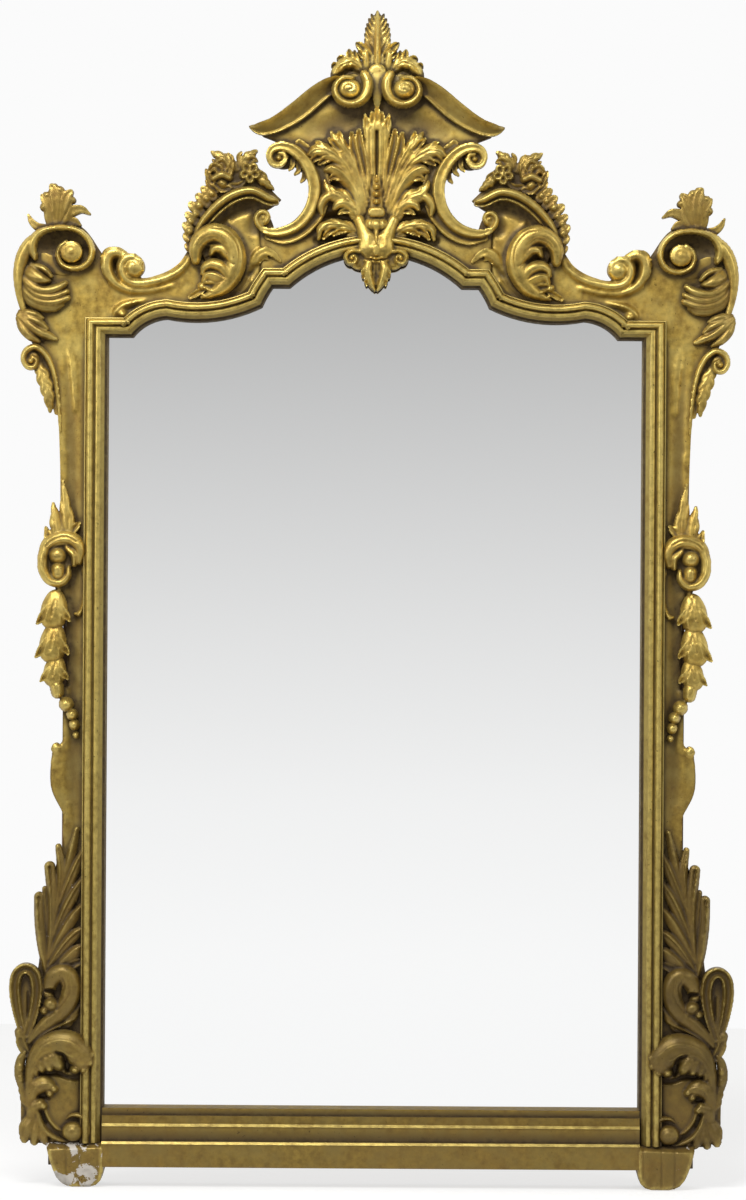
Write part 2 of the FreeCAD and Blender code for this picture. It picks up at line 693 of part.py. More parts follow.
# Sight openings in the boards, the carcase and the back
sight = sight_runs(PLINTH_HEIGHT)
sight_hole = slab(sight, BOARD_BACK, BOARD_FRONT)
glass_hole = slab(widened(sight, GLASS_OPENING), 0, CARCASE_THICKNESS)
back_hole = slab(widened(sight, BACK_REBATE), 0, REBATE_DEPTH)
moulding_line = sight_runs(-FOOT_DROP - MOULDING_WIDTH)
moulding_band = slab(widened(moulding_line, MOULDING_WIDTH + FIT_GAP), BOARD_FRONT, BOARD_FRONT + OVERALL)
in_front = box(-OVERALL, OVERALL, BOARD_FRONT, BOARD_FRONT + OVERALL, -OVERALL, OVERALL * 2)

# Hangers: strap with a rolled loop, ring hung in it, two screws
pin_x = -HALF_SIGHT - (BACK_REBATE + STILE_WIDTH) / 2
pin_z = PLINTH_HEIGHT + HANGER_HEIGHT_SHARE * SIGHT_SIDE_HEIGHT
strap_back = HANGER_POCKET_DEPTH - STRAP_THICKNESS
bore_radius = RING_WIRE_RADIUS + PIN_CLEARANCE
loop_radius = bore_radius + STRAP_LOOP_WALL
strap_left = pin_x - STRAP_WIDTH / 2
strap_right = pin_x + STRAP_WIDTH / 2
pocket = box(
    pin_x - HANGER_POCKET_WIDTH / 2, pin_x + HANGER_POCKET_WIDTH / 2, 0, HANGER_POCKET_DEPTH,
    pin_z - HANGER_POCKET_DROP, pin_z + HANGER_POCKET_RISE)
strap = box(strap_left, strap_right, strap_back, HANGER_POCKET_DEPTH, pin_z - STRAP_LENGTH, pin_z)
loop_start = point(strap_left, HANGER_PIN_SETBACK, pin_z)
strap = fused([strap, Part.makeCylinder(loop_radius, STRAP_WIDTH, loop_start, ACROSS)])
strap = strap.cut(Part.makeCylinder(bore_radius, STRAP_WIDTH, loop_start, ACROSS))
screw_heads = (HANGER_POCKET_DEPTH + strap_back) / 2
hanger_screw_list = []
for share in STRAP_SCREW_SHARES:
    screw_z = pin_z - share * STRAP_LENGTH
    hanger_screw_list.append(screw(
        pin_x, screw_z, screw_heads, HANGER_SCREW_LENGTH, HANGER_SCREW_RADIUS,
        HANGER_SCREW_HEAD_RADIUS, strap_back))
strap = largest(strap.cut(hanger_screw_list))
ring_left = point(pin_x - RING_HALF_WIDTH, HANGER_PIN_SETBACK, pin_z)
ring_right = point(pin_x + RING_HALF_WIDTH, HANGER_PIN_SETBACK, pin_z)
ring_low = UP * -RING_DROP
bow = Part.makeTorus(
    RING_HALF_WIDTH, RING_WIRE_RADIUS, point(pin_x, HANGER_PIN_SETBACK, pin_z - RING_DROP), FORWARD)
bow = bow.common(box(
    pin_x - RING_HALF_WIDTH * 2, pin_x + RING_HALF_WIDTH * 2, -RING_HALF_WIDTH, RING_HALF_WIDTH,
    pin_z - RING_DROP - RING_HALF_WIDTH * 2, pin_z - RING_DROP))
ring = fused([
    bar(ring_left, ring_right, RING_WIRE_RADIUS),
    bar(ring_left, ring_left + ring_low, RING_WIRE_RADIUS),
    bar(ring_right, ring_right + ring_low, RING_WIRE_RADIUS),
    Part.makeSphere(RING_WIRE_RADIUS, ring_left),
    Part.makeSphere(RING_WIRE_RADIUS, ring_right),
    bow,
])

# Backboards and their screws
back_panel = slab(widened(sight, BACK_REBATE - BACKBOARD_CLEARANCE), BACKBOARD_INSET, REBATE_DEPTH)
cuts = [-OVERALL] + [share * HALF_SIGHT for share in BACKBOARD_SEAM_SHARES] + [OVERALL]
planks = []
for left, right in zip(cuts[:-1], cuts[1:]):
    slot = box(left + BACKBOARD_SEAM / 2, right - BACKBOARD_SEAM / 2, 0, REBATE_DEPTH, 0, OVERALL)
    planks.append(largest(back_panel.common(slot)))
screw_line = (GLASS_OPENING + BACK_REBATE) / 2
screw_places = []
for share in SIDE_SCREW_SHARES:
    screw_z = PLINTH_HEIGHT + share * SIGHT_SIDE_HEIGHT
    screw_places.append((-HALF_SIGHT - screw_line, screw_z))
    screw_places.append((HALF_SIGHT + screw_line, screw_z))
for share in BOTTOM_SCREW_SHARES:
    screw_places.append((share * HALF_SIGHT, PLINTH_HEIGHT - screw_line))
back_screws = []
for x, z in screw_places:
    back_screws.append(screw(
        x, z, BACKBOARD_INSET, BACK_SCREW_LENGTH, BACK_SCREW_RADIUS, BACK_SCREW_HEAD_RADIUS,
        BACKBOARD_INSET * SCREW_HEAD_SHARE))
planks = [largest(plank.cut(back_screws)) for plank in planks]

# Glass and the blocks that hold it in its rebate
glass = slab(widened(sight, GLASS_REBATE), GLASS_BACK, CARCASE_THICKNESS)
blocks = []
for share in SIDE_BLOCK_SHARES:
    block_z = PLINTH_HEIGHT + share * SIGHT_SIDE_HEIGHT
    block = box(
        -STILE_INNER, GLAZING_BLOCK_WIDTH - STILE_INNER, REBATE_DEPTH, GLASS_BACK,
        block_z - GLAZING_BLOCK_LENGTH / 2, block_z + GLAZING_BLOCK_LENGTH / 2)
    blocks.extend(both(block))
for share in BOTTOM_BLOCK_SHARES:
    block_x = share * HALF_SIGHT
    block_low = PLINTH_HEIGHT - GLASS_OPENING
    blocks.append(box(
        block_x - GLAZING_BLOCK_LENGTH / 2, block_x + GLAZING_BLOCK_LENGTH / 2, REBATE_DEPTH, GLASS_BACK,
        block_low, block_low + GLAZING_BLOCK_WIDTH))

# Carcase: two stiles, tenoned rails
tenon_front = REBATE_DEPTH + TENON_THICKNESS
rail_top = EAR_Z + RAIL_EAR_HEIGHT
crown_top = CROWN_Z + RAIL_CROWN_HEIGHT
tenon_spans = [
    (TENON_SHOULDER, PLINTH_HEIGHT - BACK_REBATE - TENON_SHOULDER),
    (EAR_Z + BACK_REBATE + TENON_SHOULDER, rail_top - TENON_SHOULDER),
]
tenon_tip = -STILE_INNER - TENON_LENGTH
tenons = [box(tenon_tip, -STILE_INNER, REBATE_DEPTH, tenon_front, low, high) for low, high in tenon_spans]
mortise_end = tenon_tip - TENON_END_GAP
mortises = [
    box(mortise_end, -STILE_INNER, REBATE_DEPTH, tenon_front, low, high)
    for low, high in tenon_spans
]
stile = box(-STILE_OUTER, -STILE_INNER, 0, CARCASE_THICKNESS, 0, EAR_Z + STILE_EAR_REACH)
stile = largest(stile.cut([back_hole, pocket] + mortises + back_screws + hanger_screw_list))
rail_rise = RAIL_RISE_SHARE * HALF_SIGHT
rail_crown = RAIL_CROWN_SHARE * HALF_SIGHT
rail_corners = [
    (-STILE_INNER, EAR_Z), (-STILE_INNER, rail_top), (-rail_rise, rail_top), (-rail_crown, crown_top),
    (rail_crown, crown_top), (rail_rise, rail_top), (STILE_INNER, rail_top), (STILE_INNER, EAR_Z),
]
rail_runs = [[rail_corners[i - 1], rail_corners[i]] for i in range(len(rail_corners))]
top_rail = largest(slab(rail_runs, 0, CARCASE_THICKNESS).cut([glass_hole, back_hole]))
top_rail = fused([top_rail] + both(tenons[1]))
bottom_rail = box(-STILE_INNER, STILE_INNER, 0, CARCASE_THICKNESS, 0, PLINTH_HEIGHT)
bottom_rail = largest(bottom_rail.cut([glass_hole, back_hole]))
bottom_rail = fused([bottom_rail] + both(tenons[0]))
bottom_rail = largest(bottom_rail.cut(back_screws))

# Feet under the stiles, with an upstand in front of the side boards
foot_front = BOARD_FRONT + FOOT_PROJECTION
foot = fused([
    box(-HALF_SIGHT - FOOT_WIDTH, -HALF_SIGHT, 0, foot_front, -FOOT_DROP, 0),
    box(-HALF_SIGHT - FOOT_WIDTH, -HALF_SIGHT, BOARD_FRONT, foot_front, 0, FOOT_FRONT_HEIGHT),
])

# Carved boards
side_edge = laid(SIDE_BOARD_SHARES, on_side)
side_start = side_edge[0][0]
side_end = side_edge[-1][-1]
side_foot = -HALF_SIGHT - FOOT_WIDTH
side_runs = [
    [(-HALF_SIGHT, 0), (side_foot, 0)],
    [(side_foot, 0), (side_foot, side_start[1])],
    [(side_foot, side_start[1]), side_start],
] + side_edge + [[side_end, (-HALF_SIGHT, 0)]]
side_board = slab(side_runs, BOARD_BACK, BOARD_FRONT)
shoulder_edge = laid(SHOULDER_BOARD_SHARES, on_shoulder)
shoulder_start = shoulder_edge[0][0]
shoulder_end = shoulder_edge[-1][-1]
shoulder_runs = [[(-HALF_SIGHT, EAR_Z), shoulder_start]] + shoulder_edge + [
    [shoulder_end, (-CREST_HALF_WIDTH, EAR_Z)],
    [(-CREST_HALF_WIDTH, EAR_Z), (-HALF_SIGHT, EAR_Z)],
]
shell_place = on_shoulder(SHELL_VOLUTE_PLACE_SHARE)
shoulder_board = fused([
    slab(shoulder_runs, BOARD_BACK, BOARD_FRONT),
    volute(shell_place, SHELL_VOLUTE_RADIUS, BOARD_BACK, BOARD_FRONT + SHELL_VOLUTE_RELIEF),
])
shoulder_board = cleared(shoulder_board, [sight_hole, side_board])
crest_edge = laid(CREST_BOARD_SHARES, on_crest)
crest_start = crest_edge[0][0]
crest_end = crest_edge[-1][-1]
crest_half = [[(-CREST_HALF_WIDTH, EAR_Z), crest_start]] + crest_edge
crest_runs = crest_half + [[crest_end, (-crest_end[0], crest_end[1])]] + reflected(crest_half)
crest_runs = crest_runs + [[(CREST_HALF_WIDTH, EAR_Z), (-CREST_HALF_WIDTH, EAR_Z)]]
crest_top = crest_end[1]
peg_depth = (BOARD_BACK + BOARD_FRONT) / 2
peg_hole = Part.makeCylinder(
    FINIAL_PEG_RADIUS + PEG_CLEARANCE, FINIAL_PEG_LENGTH + PEG_CLEARANCE,
    point(0, peg_depth, crest_top - FINIAL_PEG_LENGTH - PEG_CLEARANCE), UP)
brace_low = crown_top
brace_high = EAR_Z + BRACE_TOP_SHARE * CREST_RISE
brace_back = CARCASE_THICKNESS - BRACE_THICKNESS
brace = box(-BRACE_WIDTH / 2, BRACE_WIDTH / 2, brace_back, CARCASE_THICKNESS, brace_low, brace_high)
brace_screw_list = []
for share in BRACE_SCREW_SHARES:
    screw_z = brace_low + share * (brace_high - brace_low)
    brace_screw_list.append(screw(
        0, screw_z, brace_back, BRACE_SCREW_LENGTH, BRACE_SCREW_RADIUS, BRACE_SCREW_HEAD_RADIUS,
        brace_back - BRACE_SCREW_RADIUS))
brace = largest(brace.cut(brace_screw_list))
crest_board = slab(crest_runs, BOARD_BACK, BOARD_FRONT)
crest_board = cleared(crest_board, [sight_hole, peg_hole] + both(shoulder_board) + brace_screw_list)
plinth_board = box(-HALF_SIGHT, HALF_SIGHT, BOARD_BACK, BOARD_FRONT, 0, PLINTH_HEIGHT)

# Sight moulding, mitred at the top corners, and the plinth fascia
loop_solid = moulding_loop(moulding_line)
mitre_far = HALF_SIGHT + EAR_RISE
mitre_high = EAR_Z + EAR_RISE
side_corners = [
    (-HALF_SIGHT, EAR_Z), (-HALF_SIGHT, FOOT_FRONT_HEIGHT), (-mitre_far, FOOT_FRONT_HEIGHT),
    (-mitre_far, mitre_high),
]
side_region = [[side_corners[i - 1], side_corners[i]] for i in range(len(side_corners))]
side_moulding = largest(loop_solid.common(slab(side_region, BOARD_FRONT, BOARD_FRONT + OVERALL)))
top_corners = [
    (-HALF_SIGHT, EAR_Z), (-mitre_far, mitre_high), (-mitre_far, OVERALL), (mitre_far, OVERALL),
    (mitre_far, mitre_high), (HALF_SIGHT, EAR_Z),
]
top_region = [[top_corners[i - 1], top_corners[i]] for i in range(len(top_corners))]
top_moulding = largest(loop_solid.common(slab(top_region, BOARD_FRONT, BOARD_FRONT + OVERALL)))
fascia_points = [
    point(-HALF_SIGHT, BOARD_FRONT + out * FASCIA_PROJECTION, high * PLINTH_HEIGHT)
    for high, out in FASCIA_SECTION_SHARES
]
fascia_points.append(fascia_points[0])
fascia = Part.Face(Part.makePolygon(fascia_points)).extrude(ACROSS * SIGHT_WIDTH)

# Crest ornament
crest_volute = volute(
    on_crest(CREST_VOLUTE_PLACE_SHARE), CREST_VOLUTE_RADIUS, BOARD_FRONT, BOARD_FRONT + CREST_VOLUTE_RELIEF)
crest_volutes = both(crest_volute)
hood = slab(laid(HOOD_SHARES, on_crest), BOARD_FRONT, BOARD_FRONT + HOOD_RELIEF)
hood = cleared(hood, [crest_volute])
arch = slab(laid(ARCH_SHARES, on_shoulder), BOARD_FRONT, BOARD_FRONT + ARCH_RELIEF)
c_front = BOARD_FRONT + C_SCROLL_RELIEF
c_scroll = fused([
    slab(laid(C_SCROLL_SHARES, on_crest), BOARD_FRONT, c_front),
    volute(on_crest(C_SCROLL_TOP_PLACE_SHARE), C_SCROLL_TOP_RADIUS, BOARD_FRONT, c_front),
    volute(on_crest(C_SCROLL_END_PLACE_SHARE), C_SCROLL_END_RADIUS, BOARD_FRONT, c_front),
])
c_scroll = cleared(c_scroll, [hood, arch])
palmette_front = BOARD_FRONT + PALMETTE_RELIEF
palmette = carved(whole(laid(PALMETTE_HALF_SHARES, on_crest)), BOARD_FRONT, palmette_front)
palmette = cleared(palmette, [moulding_band] + crest_volutes + both(c_scroll))
beads = [
    ball(on_crest((0, place)), palmette_front, size * BEAD_DROP_RADIUS)
    for place, size in BEAD_DROP_SHARES
]
drop_high = on_crest((0, BEAD_DROP_SHARES[0][0]))[1]
drop_low = on_crest((0, BEAD_DROP_SHARES[-1][0]))[1]
drop_wire = bar(
    point(0, palmette_front, drop_high), point(0, palmette_front, drop_low),
    BEAD_DROP_RADIUS * VOLUTE_EYE_SHARE)
bead_drop = cleared(fused([drop_wire] + beads), [palmette, moulding_band])
pendant = carved(whole(laid(PENDANT_HALF_SHARES, on_crest)), BOARD_FRONT, BOARD_FRONT + PENDANT_RELIEF)
pendant = cleared(pendant, [top_moulding])
peg_foot = point(0, peg_depth, crest_top - FINIAL_PEG_LENGTH)
finial = fused([
    slab(whole(laid(FINIAL_HALF_SHARES, on_crest)), BOARD_BACK, BOARD_BACK + FINIAL_DEPTH),
    Part.makeCylinder(FINIAL_PEG_RADIUS, FINIAL_PEG_LENGTH, peg_foot, UP),
])
finial = cleared(finial, crest_volutes)

# Shoulder ornament
shoulder_leaf = carved(
    laid(SHOULDER_LEAF_SHARES, on_shoulder), BOARD_FRONT, BOARD_FRONT + SHOULDER_LEAF_RELIEF)
shoulder_leaf = cleared(shoulder_leaf, [moulding_band, arch])
spray_front = BOARD_FRONT + SPRAY_LEAF_RELIEF
spray_pieces = [
    slab(laid(SPRAY_LEAF_SHARES, on_shoulder), BOARD_FRONT, spray_front),
    slab(laid(SPRAY_TIP_SHARES, on_shoulder), BOARD_FRONT, spray_front),
    slab(laid(BUD_STEM_SHARES, on_shoulder), BOARD_FRONT, BOARD_FRONT + BUD_STEM_RELIEF),
]
for place in ROSE_PLACE_SHARES:
    spray_pieces.append(rose(on_shoulder(place), ROSE_RADIUS, BOARD_FRONT, BOARD_FRONT + ROSE_RELIEF))
for place, size in zip(BUD_PLACE_SHARES, BUD_SIZE_SHARES):
    spray_pieces.append(knob(on_shoulder(place), size * BUD_RADIUS, BUD_RELIEF))
flower_spray = cleared(fused(spray_pieces), [arch, shoulder_leaf, c_scroll])

# Ear ornament
corner_volute = volute(
    on_side(CORNER_VOLUTE_PLACE_SHARE), CORNER_VOLUTE_RADIUS, BOARD_FRONT,
    BOARD_FRONT + CORNER_VOLUTE_RELIEF)
corner_volute = cleared(corner_volute, [moulding_band, shoulder_board])
leaf_back = BOARD_BACK + CORNER_LEAF_SETBACK
corner_leaf = slab(laid(CORNER_LEAF_SHARES, on_side), leaf_back, leaf_back + CORNER_LEAF_DEPTH)
corner_leaf = cleared(corner_leaf, [side_board, corner_volute])
corner_acanthus = carved(
    laid(CORNER_ACANTHUS_SHARES, on_side), BOARD_FRONT, BOARD_FRONT + CORNER_ACANTHUS_RELIEF)
corner_acanthus = cleared(corner_acanthus, [corner_volute, corner_leaf])
scroll_place = on_side(CORNER_SCROLL_PLACE_SHARE)
corner_scroll = fused([
    slab(laid(CORNER_BAND_SHARES, on_side), BOARD_FRONT, BOARD_FRONT + CORNER_BAND_RELIEF),
    slab(laid(CORNER_DROP_SHARES, on_side), BOARD_FRONT, BOARD_FRONT + CORNER_BAND_RELIEF),
    volute(scroll_place, CORNER_SCROLL_RADIUS, BOARD_FRONT, BOARD_FRONT + CORNER_SCROLL_RELIEF),
])
corner_scroll = cleared(corner_scroll, [corner_acanthus])

# Side ornament
mid_volute_place = on_side(MID_VOLUTE_PLACE_SHARE)
mid_scroll = fused([
    slab(laid(MID_LEAF_SHARES, on_side), BOARD_FRONT, BOARD_FRONT + MID_LEAF_RELIEF),
    volute(mid_volute_place, MID_VOLUTE_RADIUS, BOARD_FRONT, BOARD_FRONT + MID_VOLUTE_RELIEF),
])
mid_scroll = cleared(mid_scroll, [corner_scroll, moulding_band])
stem_depth = BOARD_FRONT + GARLAND_STEM_SETOUT
stem_places = [mid_volute_place] + [on_side(place) for place in GARLAND_STEM_SHARES]
stem_points = [point(x, stem_depth, z) for x, z in stem_places]
bead_sizes = [size * SIDE_BOARD_WIDTH for size in BEAD_SIZE_SHARES]
bead_places = [on_side(place) for place in BEAD_PLACE_SHARES]
for (x, z), size in zip(bead_places, bead_sizes):
    stem_points.append(point(x, BOARD_FRONT + size, z))
garland_pieces = [bar(a, b, GARLAND_STEM_RADIUS) for a, b in zip(stem_points[:-1], stem_points[1:])]
for place, wide, high in zip(HUSK_PLACE_SHARES, HUSK_HALF_WIDTH_SHARES, HUSK_HEIGHT_SHARES):
    garland_pieces.append(husk(on_side(place), wide * SIDE_BOARD_WIDTH, high * SIDE_BOARD_WIDTH))
for place, size in zip(bead_places, bead_sizes):
    garland_pieces.append(ball(place, BOARD_FRONT + size, size))
husk_garland = cleared(fused(garland_pieces).common(in_front), [mid_scroll, moulding_band])

# Lower ornament
boss = volute(on_side(BOSS_PLACE_SHARE), BOSS_RADIUS, BOARD_FRONT, BOARD_FRONT + BOSS_RELIEF)
boss = cleared(boss, [moulding_band, foot])
bottom_leaf = carved(laid(BOTTOM_LEAF_SHARES, on_side), BOARD_FRONT, BOARD_FRONT + BOTTOM_LEAF_RELIEF)
bottom_leaf = cleared(bottom_leaf, [moulding_band, boss, foot])
reed_root = on_side(REED_ROOT_SHARE)
reed_pieces = [blade(reed_root, on_side(tip)) for tip in REED_TIP_SHARES]
curl_front = BOARD_FRONT + CURL_RELIEF
reed_pieces.append(slab(laid(CURL_SHARES, on_side), BOARD_FRONT, curl_front))
reed_pieces.append(volute(on_side(CURL_VOLUTE_PLACE_SHARE), CURL_VOLUTE_RADIUS, BOARD_FRONT, curl_front))
reed_spray = cleared(fused(reed_pieces), [moulding_band, bottom_leaf])

# One file for each piece; alike fasteners, blocks and planks share one
save_pair("stile", stile)
save("top_rail", [largest(top_rail.cut(back_screws))])
save("bottom_rail", [bottom_rail])
save_pair("foot", foot)
save_pair("side_board", side_board)
save_pair("shoulder_board", shoulder_board)
save("crest_board", [crest_board])
save("plinth_board", [plinth_board])
save_pair("sight_moulding", side_moulding)
save("top_sight_moulding", [top_moulding])
save("plinth_fascia", [fascia])
save("mirror_glass", [glass])
save("glazing_blocks", blocks)
save("backboards", planks)
save("backboard_screws", back_screws)
save("crest_brace", [brace])
save("brace_screws", brace_screw_list)
save_pair("hanger_strap", strap)
save_pair("hanger_ring", ring)
save("hanger_screws", hanger_screw_list + [mirrored(one) for one in hanger_screw_list])
save("crest_volutes", crest_volutes)
save_pair("hood_moulding", hood)
save_pair("c_scroll", c_scroll)
save("crest_palmette", [palmette])
save("crest_bead_drop", [bead_drop])
save("crest_pendant", [pendant])
save("crest_finial", [finial])
save_pair("arch_moulding", arch)
save_pair("shoulder_acanthus", shoulder_leaf)
save_pair("flower_spray", flower_spray)
save_pair("corner_volute", corner_volute)
save_pair("corner_leaf", corner_leaf)
save_pair("corner_acanthus", corner_acanthus)
save_pair("corner_scroll", corner_scroll)
save_pair("mid_scroll", mid_scroll)
save_pair("husk_garland", husk_garland)
save_pair("reed_spray", reed_spray)
save_pair("bottom_acanthus", bottom_leaf)
save_pair("bottom_boss", boss)
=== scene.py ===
import math

import bpy
import numpy as np
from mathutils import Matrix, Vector


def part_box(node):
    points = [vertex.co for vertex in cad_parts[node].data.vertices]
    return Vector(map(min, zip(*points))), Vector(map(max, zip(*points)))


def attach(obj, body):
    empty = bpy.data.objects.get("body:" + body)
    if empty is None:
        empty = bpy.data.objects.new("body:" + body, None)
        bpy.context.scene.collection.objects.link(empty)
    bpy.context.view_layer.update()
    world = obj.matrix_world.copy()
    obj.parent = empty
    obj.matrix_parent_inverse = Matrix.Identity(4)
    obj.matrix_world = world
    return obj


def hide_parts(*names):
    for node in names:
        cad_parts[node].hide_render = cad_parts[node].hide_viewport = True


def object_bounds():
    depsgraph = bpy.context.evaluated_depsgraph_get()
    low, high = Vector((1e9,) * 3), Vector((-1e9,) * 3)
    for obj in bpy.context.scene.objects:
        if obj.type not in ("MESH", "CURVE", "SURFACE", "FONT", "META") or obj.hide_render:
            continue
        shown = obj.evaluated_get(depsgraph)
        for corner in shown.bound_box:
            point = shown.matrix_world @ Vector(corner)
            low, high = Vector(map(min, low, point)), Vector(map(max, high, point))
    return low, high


# Carved giltwood wall mirror. Metres, +Z up, the carved front faces -Y and the wall plane is y = 0.
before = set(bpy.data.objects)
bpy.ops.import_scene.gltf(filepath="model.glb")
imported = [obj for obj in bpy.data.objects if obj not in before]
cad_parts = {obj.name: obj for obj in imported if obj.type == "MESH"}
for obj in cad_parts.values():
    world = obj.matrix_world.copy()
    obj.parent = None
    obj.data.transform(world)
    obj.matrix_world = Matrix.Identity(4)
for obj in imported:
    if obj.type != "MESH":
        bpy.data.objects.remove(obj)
cad_low, cad_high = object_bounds()

# The photograph: its height in pixels, the metres of one pixel, the frame's middle column and base row,
# and the frame's slight lean
PHOTO_HEIGHT = 1200
PIXEL = 0.0015345
MIDDLE_COLUMN = 374
BASE_ROW = 1167
LEVEL_ROW = 600
LEAN = 0.0063

# Depths taken from the solids
MM = 0.001
BOARD_FRONT = -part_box("plinth_board")[0].y
BOARD_BACK = -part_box("plinth_board")[1].y
# Lapped boards step back by this much behind the board they lap, so that no two backs lie in one plane
LAPPED_BACK = 0.4 * MM
FLOOR_LEVEL = cad_low.z

# Grid spacing of the carving, of the boards, and of the relief map that tells hollows from crests
CARVING_PITCH = 1.25 * MM
BOARD_PITCH = 2.0 * MM
MAP_PITCH = 2.0 * MM
SUNK = 3.0 * MM


# Sections of a carver's cut, across its width from -1 to 1
def roll(u):
    return 0.28 + 0.72 * np.sqrt(1 - u * u)


def dome(u):
    return np.sqrt(1 - u * u)


def gouge(u):
    away = np.abs(u)
    dish = 0.6 + 0.4 * np.minimum(away / 0.72, 1) ** 2
    lip = np.clip((1 - away) / 0.28, 0, 1)
    return dish * (0.55 + 0.45 * np.sqrt(lip))


def rib(u):
    return 1 - 0.72 * np.abs(u) ** 1.2


def blade(u):
    crest = np.where(u < 0.3, (u + 1) / 1.3, (1 - u) / 0.7)
    return 0.42 + 0.58 * np.clip(crest, 0, 1) ** 0.8


def curl(u):
    crest = np.where(u < -0.35, (u + 1) / 0.65, (1 - u) / 1.35)
    return 0.3 + 0.7 * np.sqrt(np.clip(crest, 0, 1))


def strap(u):
    return 0.62 + 0.38 * np.sqrt(1 - u ** 4) - 0.16 * (1 - u * u) ** 2


def pad(u):
    return 0.55 + 0.45 * np.sqrt(1 - u ** 6)


def hood_section(u):
    away = np.clip((u + 0.7) / 1.7, 0, 1)
    bead = np.sqrt(np.clip(1 - ((u + 0.86) / 0.14) ** 2, 0, 1))
    return np.maximum(0.3 + 0.7 * away ** 1.7, 0.42 * bead)


def arch_section(u):
    crest = np.sqrt(np.clip(1 - ((u - 0.34) / 0.66) ** 2, 0, 1))
    fillet = np.sqrt(np.clip(1 - ((u + 0.8) / 0.2) ** 2, 0, 1))
    return np.maximum(0.35 + 0.65 * crest * (u > -0.32), 0.3 + 0.4 * fillet * (u < -0.45))


# A groove is taken out of what is there, and a ridge left standing on it
def groove(u):
    return 1 - u * u


def ridge(u):
    return (1 - u * u) ** 1.5


# Places on a ring, for a stroke that closes on itself
def ring(column, row, reach, half_width, height):
    places = []
    for turn in np.linspace(0, 2 * math.pi, 13):
        across = reach * math.cos(turn)
        down = reach * math.sin(turn)
        places.append((column + across, row + down, half_width, height))
    return places


# A lobed leaf: a vein down the middle, side lobes that sweep towards the tip, and notched edges.
# Its crest may lean to one side, where the leaf turns over.
class Leaf:
    def __init__(self, lobes, notch=0.3, sweep=0.8, fold=0.28, lean=0.0, hand=1):
        self.lobes = lobes
        self.notch = notch
        self.sweep = sweep
        self.fold = fold
        self.lean = lean
        self.hand = hand

    def turned_over(self):
        return Leaf(self.lobes, self.notch, self.sweep, self.fold, -self.lean, -self.hand)

    def swell(self, away, run, side):
        phase = self.lobes * run - self.sweep * away + 0.4 * (side * self.hand > 0)
        return np.abs(np.sin(math.pi * phase)) ** 0.6

    def edge(self, run, side):
        return 1 - self.notch * (1 - self.swell(1.0, run, side))

    def surface(self, away, run, side):
        u = away * side - self.lean
        off_crest = np.where(u > 0, u / (1 - self.lean), -u / (1 + self.lean))
        body = 0.34 + 0.66 * np.sqrt(np.clip(1 - off_crest ** 2, 0, 1))
        vein = 1 - 0.14 * np.exp(-((away * side - self.lean) / 0.12) ** 2)
        furrow = 1 - self.fold * (1 - self.swell(away, run, side)) * np.clip(away / 0.45, 0, 1)
        return body * vein * furrow


# Carving tables. Each cut is a section and a line of places: column and row on the photograph, half width
# in its pixels, and height above the boards in millimetres. The left side is drawn and the right mirrored.
CORNER_VOLUTE_CUTS = [
    (pad, [(44, 262, 9, 2), (56, 266, 8, 2), (66, 270, 5, 2)]),
    (roll, [
        (38, 236, 4, 20), (30, 244, 6, 20), (23.6, 255, 6.6, 18), (20, 268, 6, 16), (19, 282, 5, 14),
        (20.4, 296, 4, 11), (23.6, 310, 3, 9),
    ]),
    (roll, [
        (35.4, 258, 2.2, 16), (33, 251, 4.6, 20), (33.4, 243, 5, 22), (38, 235.4, 4.4, 23),
        (46, 230.8, 3.4, 24), (60, 228.2, 2.8, 24), (76, 230.2, 2.9, 25), (87.4, 238.2, 3.1, 25),
        (92.6, 250, 3.2, 25), (90.2, 261, 3.1, 24), (82.4, 267.6, 2.9, 23), (72, 269, 2.7, 22),
        (62.6, 264.8, 2.5, 21), (58.4, 256, 2.3, 20), (60.4, 247.4, 2, 19), (66.4, 242.2, 1.6, 17),
    ]),
    (dome, [(35.4, 255, 2.8, 19), (35.7, 255.2, 2.8, 19)]),
    (pad, [(71.4, 252.2, 10.8, 18), (72, 252.2, 10.8, 18)]),
    (dome, [(71.4, 252.2, 9, 19.4), (72, 252.2, 9, 19.4)]),
    (groove, ring(71.7, 252.2, 8.4, 0.9, 1.4)),
]
